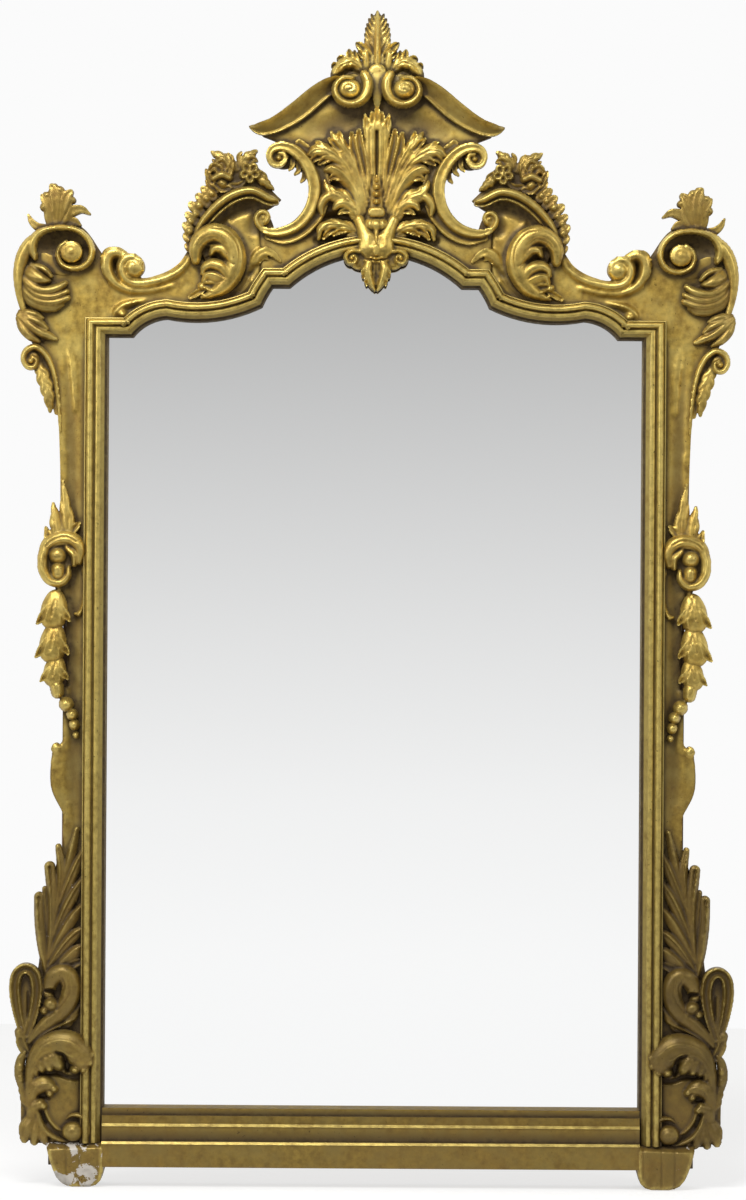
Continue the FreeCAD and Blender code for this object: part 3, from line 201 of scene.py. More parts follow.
CORNER_ACANTHUS_CUTS = [
    (pad, [(24, 276, 5, 4), (34, 286, 12, 6), (48, 294, 14, 6), (58, 297, 9, 5)]),
    (roll, [
        (20, 284, 2.6, 6), (25, 294, 4, 10), (32, 302, 5, 13), (43, 307, 5.4, 15), (54, 307.6, 4.6, 14),
        (62, 305, 2.4, 10),
    ]),
    (roll, [
        (22, 283, 2.6, 8), (27, 292.6, 3.8, 13), (34.6, 299.4, 4.4, 16), (45, 302.8, 4.6, 18),
        (57, 302.4, 4.2, 18), (67.6, 298.4, 3, 15),
    ]),
    (roll, [
        (24, 281, 2.8, 10), (29, 289, 3.6, 15), (37, 295, 4, 18.5), (47, 297.6, 4.2, 20.5),
        (57, 296.6, 4, 20), (67, 292, 2.8, 16),
    ]),
    (roll, [
        (23, 276, 3.6, 10), (29, 283.4, 5.4, 16), (38, 289.6, 6, 20), (48, 291.2, 5.8, 22),
        (58, 288.6, 4.8, 21), (65.6, 283.6, 2.6, 16),
    ]),
    (roll, [
        (26, 268.6, 4, 9), (32, 274, 7.4, 17), (38, 278, 7.4, 21), (44, 280.4, 5, 21),
        (48.4, 281.4, 2.8, 17),
    ]),
    (roll, [(32, 265.4, 2.6, 9), (40, 267.4, 3.4, 15), (46.4, 271, 3.2, 18), (51, 276, 2.2, 15)]),
    (groove, [(39, 285.4, 1.2, 1), (45, 286, 2, 5), (51, 283.6, 1.6, 3)]),
    (groove, [(36, 269.8, 1, 1), (42, 272.4, 1.4, 3), (47, 276.4, 1.2, 3)]),
    (pad, [(24, 318, 6, 3), (32, 328, 9, 4), (44, 335, 6, 3)]),
    (roll, [(21, 312, 2.6, 7), (28, 312.8, 3.8, 13), (36, 315, 3.6, 14), (42, 318, 2, 10)]),
    (roll, [(19, 319, 3, 8), (23, 328, 4.6, 13), (30, 336, 4.4, 14), (38, 341, 2.6, 10)]),
    (roll, [
        (20, 316, 3.4, 9), (28, 323, 5.4, 15), (39, 331, 5.4, 17), (49, 336, 4, 15), (56, 339, 2, 11),
    ]),
    (roll, [(21, 313.6, 3, 9), (30, 318.6, 4.4, 15), (40, 323, 4, 16), (47, 328.6, 2.2, 12)]),
    (groove, [(30, 321.6, 1, 1), (38, 326.6, 1.4, 3), (46, 332, 1, 2)]),
]
CORNER_LEAF_CUTS = [
    (pad, [(56, 221, 10, 8), (57.6, 213, 13.4, 9), (58.4, 204, 13.6, 10), (57, 195.6, 9, 10)]),
    (strap, [(56, 220, 5, 10), (56.4, 205, 6, 13), (54.6, 193, 5, 12), (52.8, 187.4, 3.4, 10)]),
    (strap, [(60, 218, 5, 9), (64.4, 205, 5.4, 12), (67.6, 196, 4.6, 11), (70.6, 192.4, 2.6, 9)]),
    (strap, [(53, 219, 4.4, 9), (49, 208, 4.6, 11), (45, 201, 3.6, 10), (42.8, 196.6, 2, 8)]),
    (dome, [(44, 207.4, 4, 10), (44.3, 207.6, 4, 10)]),
    (dome, [(46.6, 195.4, 3.6, 10), (46.9, 195.6, 3.6, 10)]),
    (dome, [(60.6, 190, 3.6, 11), (60.9, 190.2, 3.6, 11)]),
    (dome, [(72, 200, 3.6, 9), (72.3, 200.2, 3.6, 9)]),
    (dome, [(55.4, 186.6, 2.8, 10), (55.6, 186.8, 2.8, 10)]),
    (strap, [(62, 220, 5, 7), (71, 212, 5.4, 8), (81, 209.4, 3.8, 8), (89, 213.4, 1.3, 6)]),
    (strap, [(64, 226, 4, 6), (73, 221.6, 4.4, 7), (79, 224.6, 2, 6)]),
    (groove, [(53, 222, 0.9, 1.8), (51.6, 206, 0.9, 2.2), (50, 196, 0.7, 1.4)]),
    (groove, [(59, 222, 0.9, 1.8), (60.6, 207, 0.9, 2.2), (61, 196, 0.7, 1.4)]),
    (groove, [(62, 222, 0.9, 1.6), (68, 211, 0.9, 2), (70.6, 204, 0.7, 1.4)]),
    (strap, [(46, 228, 3.6, 7), (38, 227, 4, 9), (32, 222, 3, 8), (28.8, 215.6, 1.2, 6)]),
]
CORNER_SCROLL_CUTS = [
    (pad, [(37, 352, 4.4, 2), (39.6, 358, 4, 2)]),
    (roll, [
        (60.4, 430, 1.4, 3), (58.6, 404, 1.9, 6), (55.6, 380, 2.4, 10), (51, 364, 2.8, 12),
        (44.4, 353, 3.1, 14), (35.6, 347.2, 3.3, 15), (27, 350.8, 3.2, 16), (23.8, 359, 3, 16),
        (27.8, 366.8, 2.8, 16), (34.6, 366.8, 2.5, 15), (37, 360.4, 2.1, 14), (32.6, 357, 1.9, 13),
    ]),
    (pad, [(31, 359, 8, 8), (31.6, 359, 8, 8)]),
    (dome, [(31, 361, 3.6, 16), (31.4, 361, 3.6, 16)]),
    (pad, [(45, 366, 5, 1), (51, 382, 5.4, 1), (54.6, 398, 4, 1), (56.6, 412, 2.4, 1)]),
    (Leaf(4, 0.26, 0.8, 0.25), [
        (38, 364, 4, 6), (43, 376, 7.4, 9), (47.6, 391, 6.8, 10), (49.6, 403, 4.4, 8), (50, 411, 1.6, 6),
    ]),
]
MID_SCROLL_CUTS = [
    (pad, [(60, 548, 16, 6), (58, 566, 13, 6), (57, 574, 10, 6)]),
    (Leaf(3, 0.22, 0.8, 0.16, -0.2), [
        (67, 546, 7, 9), (67.4, 530, 9, 12), (66.4, 512, 7, 11), (64.6, 495, 3.6, 8), (63.2, 481, 1.2, 5),
    ]),
    (Leaf(3, 0.24, 0.8, 0.18, 0.2), [
        (60, 548, 7, 11), (58, 532, 8.4, 14), (55.6, 517, 5.4, 12), (53.4, 504, 1.5, 8),
    ]),
    (gouge, [(52, 549, 5, 12), (49, 538, 4.6, 14), (46.2, 528, 1.4, 9)]),
    (gouge, [(68, 536, 4.4, 12), (75, 528, 4, 12), (79, 523.6, 1.8, 9)]),
    (roll, [
        (42, 556, 4, 13), (49, 544, 7, 18), (61, 538.6, 8, 20), (73, 540, 7.6, 20), (80.6, 549, 6.4, 20),
        (80, 561, 3.6, 16),
    ]),
    (groove, [(44, 550, 0.9, 2), (53, 540.6, 1.1, 3), (66, 537, 1.1, 3), (77, 542, 0.9, 2)]),
    (groove, [(48, 551, 0.9, 2), (57, 544, 1, 2.4), (68, 543.6, 1, 2.4), (76, 550, 0.9, 2)]),
    (curl, [(69, 548, 4.6, 17), (75.6, 555, 5, 21), (75, 564, 2.6, 16)]),
    (roll, [
        (46, 549, 5, 17), (43, 559, 5.2, 19), (44, 571, 5.2, 20), (51, 580.6, 5, 20),
        (61, 582.4, 4.4, 19), (68, 576, 3.6, 18), (69, 568, 2.2, 15),
    ]),
    (groove, [(46, 556, 0.8, 2), (45, 566, 0.9, 2.4), (50, 576.6, 0.9, 2.4), (59, 580, 0.8, 2)]),
    (dome, [(57.8, 555.4, 9.4, 23), (58.2, 555.4, 9.4, 23)]),
    (dome, [(58.4, 569.6, 8, 22), (58.6, 573, 7.8, 22)]),
    (roll, [(58, 584, 3, 9), (59, 593, 2.6, 9)]),
    (rib, [
        (81, 561, 1.6, 5), (84.4, 575, 2, 9), (84.8, 592, 2.2, 9), (83, 606, 2.4, 9),
        (79.6, 613.4, 2.6, 9), (75.4, 613.6, 1.2, 6),
    ]),
]


# A bell-shaped husk: a fluted cap with petals that turn out along its lower edge
def husk_cuts(column, row, wide, tall, proud):
    return [
        (roll, [
            (column + 1.5, row, 0.3 * wide, 0.6 * proud),
            (column + 1, row + 0.24 * tall, 0.72 * wide, 0.86 * proud),
            (column, row + 0.56 * tall, 0.96 * wide, proud),
            (column - 1, row + 0.8 * tall, 0.9 * wide, 0.94 * proud),
        ]),
        (gouge, [
            (column - 0.4 * wide, row + 0.5 * tall, 0.36 * wide, 0.94 * proud),
            (column - 0.8 * wide, row + 0.78 * tall, 0.32 * wide, 0.9 * proud),
            (column - 1.2 * wide, row + 1.0 * tall, 0.1 * wide, 0.6 * proud),
        ]),
        (gouge, [
            (column - 0.16 * wide, row + 0.6 * tall, 0.36 * wide, 1.04 * proud),
            (column - 0.36 * wide, row + 0.86 * tall, 0.3 * wide, 1.0 * proud),
            (column - 0.46 * wide, row + 1.06 * tall, 0.1 * wide, 0.7 * proud),
        ]),
        (gouge, [
            (column + 0.16 * wide, row + 0.6 * tall, 0.36 * wide, 1.06 * proud),
            (column + 0.24 * wide, row + 0.84 * tall, 0.3 * wide, 1.02 * proud),
            (column + 0.28 * wide, row + 1.0 * tall, 0.1 * wide, 0.7 * proud),
        ]),
        (gouge, [
            (column + 0.5 * wide, row + 0.5 * tall, 0.32 * wide, 0.9 * proud),
            (column + 0.86 * wide, row + 0.74 * tall, 0.26 * wide, 0.8 * proud),
            (column + 1.06 * wide, row + 0.9 * tall, 0.1 * wide, 0.56 * proud),
        ]),
        (groove, [
            (column + 0.9, row + 0.2 * tall, 0.06 * wide, 1.2),
            (column - 0.16 * wide, row + 0.72 * tall, 0.09 * wide, 2.4),
        ]),
        (groove, [
            (column + 2.4, row + 0.22 * tall, 0.06 * wide, 1.2),
            (column + 0.46 * wide, row + 0.68 * tall, 0.09 * wide, 2.4),
        ]),
    ]


GARLAND_CUTS = [
    (roll, [(59, 586, 2.4, 8), (58, 596, 2.4, 9)]),
    (roll, [(55.6, 620, 2.4, 8), (54.4, 631, 2.4, 9)]),
    (roll, [(53.4, 653, 2.4, 8), (54, 664, 2.4, 9)]),
    *husk_cuts(54.6, 594, 14, 29, 22),
    *husk_cuts(53.4, 626.4, 14, 30, 22),
    *husk_cuts(55.2, 658.6, 11.6, 22, 20),
    (dome, [(57, 686.6, 7.2, 19), (57.6, 691.6, 6.6, 19)]),
    (groove, [(53.6, 684, 0.9, 2), (56.6, 690, 1, 3), (57.6, 697, 0.8, 2)]),
    (roll, [(60, 695, 2.4, 8), (63.6, 700, 2.4, 8)]),
    (dome, [(66.4, 704, 7.4, 20), (66.8, 704.4, 7.4, 20)]),
    (dome, [(72.2, 714, 5.8, 18), (72.5, 714.4, 5.8, 18)]),
    (dome, [(74.4, 724.4, 5.4, 16), (74.6, 724.8, 5.4, 16)]),
    (dome, [(76.2, 734.8, 3.4, 12), (76.3, 735.2, 3.4, 12)]),
]
REED_CUTS = [
    (pad, [(50, 975, 7, 1), (56, 940, 11, 1), (64, 905, 12, 1), (70, 872, 9, 1)]),
    (blade, [(47, 974, 2.6, 8), (43, 948, 5, 14), (40.4, 922, 5.6, 17), (39.4, 897, 5, 15)]),
    (groove, [(41, 930, 0.8, 2), (39.4, 905, 1.4, 4), (39, 897, 2, 6)]),
    (blade, [(48, 930, 2.4, 9), (47, 908, 3.4, 12), (45, 889, 2.6, 11)]),
    (blade, [(49, 958, 3, 9), (53, 922, 5.6, 15), (53.4, 892, 6.6, 18), (50, 867, 5.4, 15)]),
    (groove, [(53, 920, 0.9, 2), (52.4, 890, 1.4, 4), (50, 867, 2, 6)]),
    (blade, [(54, 930, 3, 9), (59.6, 898, 4.6, 14), (62, 870, 5, 15), (58.6, 847, 3, 10)]),
    (groove, [(60, 896, 0.8, 2), (62, 868, 1.2, 3), (59, 849, 1, 3)]),
    (blade, [(58, 905, 3, 8), (66, 876, 4.6, 12), (72, 852, 4.6, 12), (77, 830, 3, 8)]),
    (blade, [(54, 922, 3, 8), (64, 896, 5, 13), (74, 872, 5.4, 14), (82.4, 853, 3.4, 9)]),
    (groove, [(60, 906, 0.8, 2), (70, 882, 1.2, 3), (79, 861, 0.9, 2)]),
    (blade, [(50, 946, 3, 8), (61, 920, 5.2, 14), (72, 897, 5.8, 15), (82.4, 880, 3.6, 9)]),
    (groove, [(57, 930, 0.8, 2), (67, 908, 1.2, 3), (78, 888, 0.9, 2)]),
    (blade, [(49, 958, 3, 9), (61, 937, 5.2, 14), (72, 919, 5.6, 15), (82.4, 906, 3.6, 10)]),
    (blade, [(50, 966, 3.4, 9), (61, 950, 5.2, 14), (73, 936, 5.8, 15), (82.4, 929, 3.6, 10)]),
    (groove, [(57, 956, 0.8, 2), (68, 942, 1.1, 3), (79, 932, 0.9, 2)]),
    (blade, [(54, 972, 4, 8), (65, 961, 6.4, 13), (75, 952, 6.6, 14), (82.4, 947, 4, 10)]),
    (gouge, [(62, 972, 3.6, 7), (72, 965, 4.6, 10), (81, 961, 3, 8)]),
    (pad, [(26, 982, 9, 7), (25.6, 996, 9, 7), (25.4, 1012, 8, 7), (26, 1034, 6, 6)]),
    (gouge, [
        (22, 1030, 3.8, 9), (17.6, 1010, 4.8, 14), (15.2, 990, 5.6, 17), (17.2, 974.6, 5.6, 19),
        (25, 968, 5.4, 20), (33.6, 972, 5.8, 20), (37.4, 985, 5.8, 18), (36, 1003, 5.2, 15),
        (31.6, 1020, 4.8, 11), (27, 1034, 3.6, 9),
    ]),
    (groove, [(28, 992, 1, 3), (28.4, 1006, 1.6, 4), (28, 1022, 1, 3)]),
    (pad, [(27, 1038, 5.4, 4), (29, 1046, 5.4, 4)]),
    (roll, [
        (49, 992, 6, 14), (51, 981, 8, 18), (58, 973.6, 9.4, 22), (66.6, 974, 9.8, 23),
        (71.6, 984, 10, 23), (70, 998, 9.8, 21), (62.6, 1010, 9, 18), (51, 1020, 7.8, 15),
        (39, 1031, 6, 12), (30, 1041, 3, 9),
    ]),
    (groove, [(69, 975, 0.9, 2), (70, 990, 1.1, 2.4), (62, 1004, 1.1, 2.4), (49, 1015, 0.9, 1.6)]),
    (groove, [(61, 974, 0.9, 1.6), (65, 984, 1.1, 2.4), (62, 995, 0.9, 1.6)]),
    (groove, [(47, 990, 2, 8), (53, 991, 3, 12), (57, 996, 2, 8)]),
    (dome, [(51, 1003.6, 7.4, 20), (52, 1004.4, 7.4, 20)]),
    (dome, [(44.4, 1010, 4.6, 16), (44.8, 1010.4, 4.6, 16)]),
    (dome, [(57.4, 1011.6, 4.6, 18), (57.8, 1012, 4.6, 18)]),
    (rib, [
        (35, 1043, 1.8, 13), (44, 1034, 2, 15), (55, 1027.6, 2.1, 16), (66, 1022.6, 2, 15),
        (75, 1018, 1.2, 11),
    ]),
    (Leaf(2, 0.3, 0.8, 0.25), [
        (62, 1027, 4, 8), (70, 1019, 6, 11), (77, 1010, 3, 10), (80, 1004, 1.2, 8),
    ]),
    (dome, [(19.6, 1032, 4.8, 10), (20, 1034, 4.8, 10)]),
    (gouge, [(20, 1036, 4, 9), (22, 1044, 5, 11), (27, 1053, 4.4, 10)]),
]
BOTTOM_ACANTHUS_CUTS = [
    (pad, [(30, 1118, 9, 3), (36, 1090, 14, 4), (46, 1066, 16, 5), (60, 1056, 14, 5)]),
    (roll, [(62, 1120, 15, 8), (63, 1102, 19, 11), (64, 1084, 18, 11)]),
    (roll, [(24, 1092, 3.4, 7), (19.6, 1074, 5, 11), (21, 1060, 4.6, 11), (25, 1052, 2.4, 9)]),
    (dome, [(20.4, 1066, 4.6, 14), (20.6, 1068, 4.6, 14)]),
    (dome, [(20.6, 1077, 4.2, 13), (21, 1079, 4.2, 13)]),
    (Leaf(3, 0.3, 0.8, 0.25), [
        (29, 1108, 4, 8), (24, 1096, 4.6, 10), (21.6, 1084, 3, 9), (21, 1076, 1.4, 8),
    ]),
    (roll, [
        (30, 1100, 4.4, 10), (30.4, 1084, 5.4, 14), (32.6, 1068, 6.8, 18), (38.6, 1054.6, 9.2, 21),
        (48, 1046, 12, 25), (60, 1043.4, 14.4, 27), (72, 1046.4, 15.4, 29), (81, 1054.4, 13.4, 29),
        (82.4, 1060, 10.8, 27),
    ]),
    (ridge, [
        (31, 1088, 1.6, 0.6), (34, 1067, 2, 1.4), (43, 1054, 2.4, 2), (58, 1049.4, 2.4, 2),
        (73, 1055, 2, 1.6),
    ]),
    (ridge, [
        (33, 1060, 1.6, 0.6), (43, 1046, 2.2, 1.6), (58, 1039.4, 2.4, 2), (73, 1041.4, 2.4, 2),
        (84, 1050, 2, 1.4),
    ]),
    (dome, [(92.6, 1053, 3.8, 22), (92.6, 1054, 3.8, 22)]),
    (dome, [(91, 1061.6, 4.2, 24), (90.8, 1062.4, 4.2, 24)]),
    (dome, [(85, 1068.4, 4.6, 26), (84.2, 1068.8, 4.6, 26)]),
    (dome, [(76, 1068.6, 5, 27), (75.2, 1068.4, 5, 27)]),
    (groove, [(57, 1050.6, 1.6, 5), (64, 1053.6, 2.2, 10), (67, 1060.6, 2.4, 12), (67.4, 1070, 2, 8)]),
    (roll, [(50, 1050, 6, 22), (54, 1057, 8.6, 27), (58.6, 1063.6, 6, 25), (60, 1067.4, 2.6, 20)]),
    (roll, [(46, 1053, 5, 21), (48, 1060, 7.4, 25), (50, 1067, 4.6, 22)]),
    (roll, [(41, 1057, 4.4, 19), (41.4, 1064, 6, 22), (42.6, 1069.6, 3.4, 19)]),
    (roll, [(36, 1063, 4, 17), (36, 1069, 4.6, 19), (37, 1073.6, 2.6, 16)]),
    (groove, [
        (41, 1072.6, 1.8, 5), (50, 1072.6, 2.6, 8), (60, 1073.6, 3, 8), (70, 1077, 3, 7),
        (82, 1078, 2.6, 5),
    ]),
    (roll, [(31, 1102, 6, 12), (34, 1088.6, 8.6, 17), (42, 1083.4, 9.2, 20), (49.6, 1084.4, 6.6, 20)]),
    (ridge, [(33, 1096, 1.6, 1), (37, 1086, 2, 1.8), (46, 1082.6, 2, 1.8), (54, 1084, 1.4, 1)]),
    (dome, [(54.4, 1087.6, 4.8, 21), (54.8, 1088, 4.8, 21)]),
    (dome, [(50, 1092.6, 4.4, 19), (50.4, 1093, 4.4, 19)]),
    (groove, [(39, 1096, 1.6, 5), (44, 1095.4, 2, 7), (49, 1098, 1.4, 4)]),
    (roll, [(31, 1118, 5, 11), (34, 1107, 6.6, 15), (40, 1103.4, 5.6, 17)]),
    (dome, [(43.4, 1105, 4.8, 18), (43.8, 1105.4, 4.8, 18)]),
    (roll, [
        (38, 1112, 2.6, 12), (41.4, 1123, 3, 14), (48.6, 1132.6, 3, 15), (59, 1138.8, 2.9, 15),
        (68, 1141, 2.2, 13),
    ]),
    (roll, [(45, 1106, 2, 11), (49, 1117.4, 2.2, 12), (56, 1126.4, 2.2, 12), (62, 1130, 1.5, 11)]),
    (pad, [(31, 1126, 8, 7), (44, 1131, 8, 7)]),
    (roll, [(34, 1117, 4.4, 11), (29, 1127, 6.6, 15), (25.6, 1135, 5.6, 14), (24.6, 1139, 3.4, 12)]),
    (roll, [(37, 1121, 4.4, 12), (36, 1132, 6.2, 16), (34.6, 1140, 4.4, 13)]),
    (roll, [(40, 1124, 4, 12), (43, 1134.6, 5.4, 15), (46.4, 1141, 3.4, 12)]),
    (roll, [(29, 1117, 3.6, 9), (24, 1125, 4.4, 12), (22, 1132, 3, 10)]),
    (dome, [(53, 1140, 3.6, 11), (53.4, 1140.4, 3.6, 11)]),
]
BOTTOM_BOSS_CUTS = [
    (pad, [(73.6, 1130, 12, 6), (74.2, 1130, 12, 6)]),
    (dome, [(72.8, 1130.8, 10.8, 26), (73.6, 1130.8, 10.8, 26)]),
    (pad, [(72.8, 1130.8, 9.6, 21), (73.6, 1130.8, 9.6, 21)]),
    (roll, [
        (66, 1119, 1.6, 9), (71, 1115, 2.2, 13), (79, 1114.6, 2.7, 16), (86, 1119.4, 3, 17),
        (89, 1128, 3, 17), (87.6, 1137, 2.8, 15), (82.6, 1143, 2, 12),
    ]),
    (roll, [(63, 1124, 1.5, 8), (61.6, 1131, 1.8, 9), (64, 1139, 1.8, 9)]),
]
SHOULDER_ACANTHUS_CUTS = [
    (pad, [(214, 246, 14, 6), (222, 266, 14, 8), (214, 282, 10, 6)]),
    (roll, [
        (196, 260, 4.6, 17), (196.4, 248, 7.4, 23), (202.6, 238.4, 9, 28), (214, 233.6, 9.8, 32),
        (226, 238, 10.6, 34), (233.4, 249, 11.2, 34), (235.4, 263, 11, 32), (231.4, 276, 10, 28),
        (223, 286.6, 8.6, 23), (212, 294, 5, 16), (203, 297.6, 2, 9),
    ]),
    (groove, [(199, 247, 0.9, 2), (206, 239.6, 1.1, 2.4), (217, 238, 1.1, 2.4), (226, 245, 0.9, 2)]),
    (groove, [
        (212, 228.6, 0.9, 2), (227, 232, 1.1, 2.4), (238, 245, 1.1, 2.4), (240, 262, 1.1, 2.4),
        (234, 278, 0.9, 2),
    ]),
    (roll, [(230, 258, 6, 29), (222.6, 250, 5.8, 28), (214.6, 249.6, 4.4, 24), (211.6, 255, 2.4, 18)]),
    (gouge, [(224, 247.4, 4, 29), (216.6, 244, 3.6, 26), (208, 245, 1.8, 19)]),
    (roll, [
        (229, 277, 6.8, 27), (222.6, 268.6, 7.2, 29), (213, 265, 6.2, 27), (205.6, 268, 4.2, 22),
        (202.8, 273.4, 2.2, 17),
    ]),
    (curl, [
        (226, 284.6, 7, 24), (216.4, 278.4, 7.4, 26), (208.4, 276.8, 5.2, 23), (204.4, 281.6, 2.6, 17),
    ]),
    (gouge, [(219, 290, 5.4, 18), (211.4, 287, 5.4, 19), (205.4, 285.6, 3.2, 16)]),
    (groove, [(234, 266, 0.9, 2), (222, 259, 1.2, 4), (211, 257, 1.4, 5), (205, 260, 1, 3)]),
    (dome, [(201.4, 286.6, 3.8, 14), (202.2, 287.4, 3.6, 14)]),
    (gouge, [(191, 297, 2.6, 6), (198, 293, 3.6, 10), (203, 290.6, 2.4, 11)]),
    (dome, [(203, 295, 2.2, 11), (204, 296, 2.2, 11)]),
]
FLOWER_SPRAY_CUTS = [
    (pad, [(212, 178, 6, 4), (222, 176, 9, 4), (238, 174, 9, 4), (254, 174, 7, 4)]),
    (pad, [(214, 188, 5, 4), (226, 186, 6, 4), (242, 182, 5, 4)]),
    (Leaf(3, 0.3, 0.9, 0.28), [
        (236, 169, 3.8, 8), (228, 161, 6, 13), (219, 156.4, 5, 13), (212.6, 152.4, 1.6, 8),
    ]),
    (gouge, [(230, 165, 3, 9), (231.4, 158.6, 2.8, 11), (228.6, 154.4, 1.2, 8)]),
    (gouge, [(226, 165, 3, 9), (219, 163.6, 3, 11), (213.4, 160.6, 1.2, 8)]),
    (Leaf(3, 0.3, 0.9, 0.28), [
        (240, 169, 3.8, 8), (245, 160, 5.6, 13), (251, 155, 4.4, 13), (256, 151.4, 1.5, 8),
    ]),
    (gouge, [(240, 163, 2.8, 9), (239, 157, 2.6, 11), (241, 153, 1.2, 8)]),
    (gouge, [(246, 164, 3, 9), (253, 160, 3, 11), (256.4, 160.6, 1.3, 8)]),
    (Leaf(3, 0.3, 0.9, 0.28), [
        (257, 176, 4.4, 9), (263, 181, 5.2, 12), (268.4, 185.4, 3.6, 11), (272.6, 188.6, 1.4, 7),
    ]),
    (gouge, [(258, 172, 2.8, 9), (263.6, 175.4, 2.8, 11), (266.6, 178.4, 1.2, 8)]),
    (gouge, [(213, 182, 3.4, 8), (208.6, 176, 3.2, 11), (206.4, 170.6, 1.3, 8)]),
    (gouge, [(216, 190, 3.6, 8), (210.6, 187.6, 3.4, 10), (206.6, 181.6, 1.3, 8)]),
    (gouge, [(222, 172, 5, 12), (214.6, 167.4, 4.4, 15), (209.6, 171.6, 2, 12)]),
    (gouge, [(226, 171, 5, 13), (223, 163.6, 4.4, 16), (217.6, 164, 2, 13)]),
    (gouge, [(229, 173, 4.4, 13), (231, 167, 3.4, 15), (232, 163, 1.8, 12)]),
    (roll, [(214.6, 178.6, 3.4, 17), (222, 175.4, 4, 20), (229, 178, 3.4, 17)]),
    (dome, [(222, 183.4, 4.4, 16), (223, 184, 4.4, 16)]),
    (gouge, [(216, 185, 3, 11), (222, 190, 3.4, 13), (229, 188.6, 3, 11)]),
    (gouge, [(231, 186, 3, 10), (238, 186.4, 3.4, 12), (243.6, 183, 2.4, 11)]),
    (roll, [
        (211, 195, 2, 6), (203, 201, 1.8, 6), (196, 210, 1.8, 6), (190.6, 222, 1.8, 6),
        (188.4, 236, 1.6, 6), (189.4, 247, 1.4, 5),
    ]),
    (strap, [(213, 197, 4.6, 10), (207, 192, 4.8, 13), (204, 189.6, 3.2, 11)]),
    (strap, [(207, 204, 4.4, 10), (201, 198.6, 4.6, 13), (198.4, 196.6, 3, 11)]),
    (strap, [(201, 213, 4.6, 10), (194, 207.4, 4.8, 13), (191.6, 205, 3.2, 11)]),
    (strap, [(196, 222, 4.2, 9), (190, 217, 4.2, 12), (187.8, 215, 2.8, 10)]),
    (strap, [(193, 233, 4.6, 9), (187.4, 227.6, 4.4, 12), (185.6, 225.4, 3, 10)]),
    (strap, [(192, 242, 4.2, 9), (187.4, 238, 4, 11), (185.8, 236, 2.8, 9)]),
    (strap, [(191, 251, 3.4, 8), (188.4, 247.6, 3.4, 10), (187, 246, 2.4, 8)]),
    (dome, [(211.6, 193.6, 4.4, 14), (212, 194, 4.4, 14)]),
    (dome, [(206.4, 199, 3.8, 14), (206.8, 199.4, 3.8, 14)]),
    (dome, [(199, 205.6, 4.9, 16), (199.4, 206, 4.9, 16)]),
    (dome, [(195.6, 214.4, 4, 14), (195.9, 214.8, 4, 14)]),
    (dome, [(190.4, 222, 3.8, 13), (190.7, 222.3, 3.8, 13)]),
    (dome, [(189.4, 231.4, 4.8, 15), (189.8, 231.8, 4.8, 15)]),
    (dome, [(188.8, 240.6, 3.4, 12), (189.1, 241, 3.4, 12)]),
    (dome, [(190, 248, 3, 10), (190.3, 248.3, 3, 10)]),
]
ROSE_PLACE = (250.2, 173.2)
ROSE_REACH = 7.4
ROSE_PETALS = 5
ARCH_MOULDING_CUTS = [
    (arch_section, [
        (199, 232.4, 5, 16), (205.4, 222, 5.6, 19), (213.6, 212.4, 6, 21), (223, 204, 6.2, 22),
        (233, 197.6, 6.3, 22), (244, 193.8, 6.3, 22), (253.4, 193.4, 6.2, 22), (262, 197, 5.8, 21),
        (269, 200.6, 5.2, 20), (275.6, 202, 3, 17),
    ]),
]
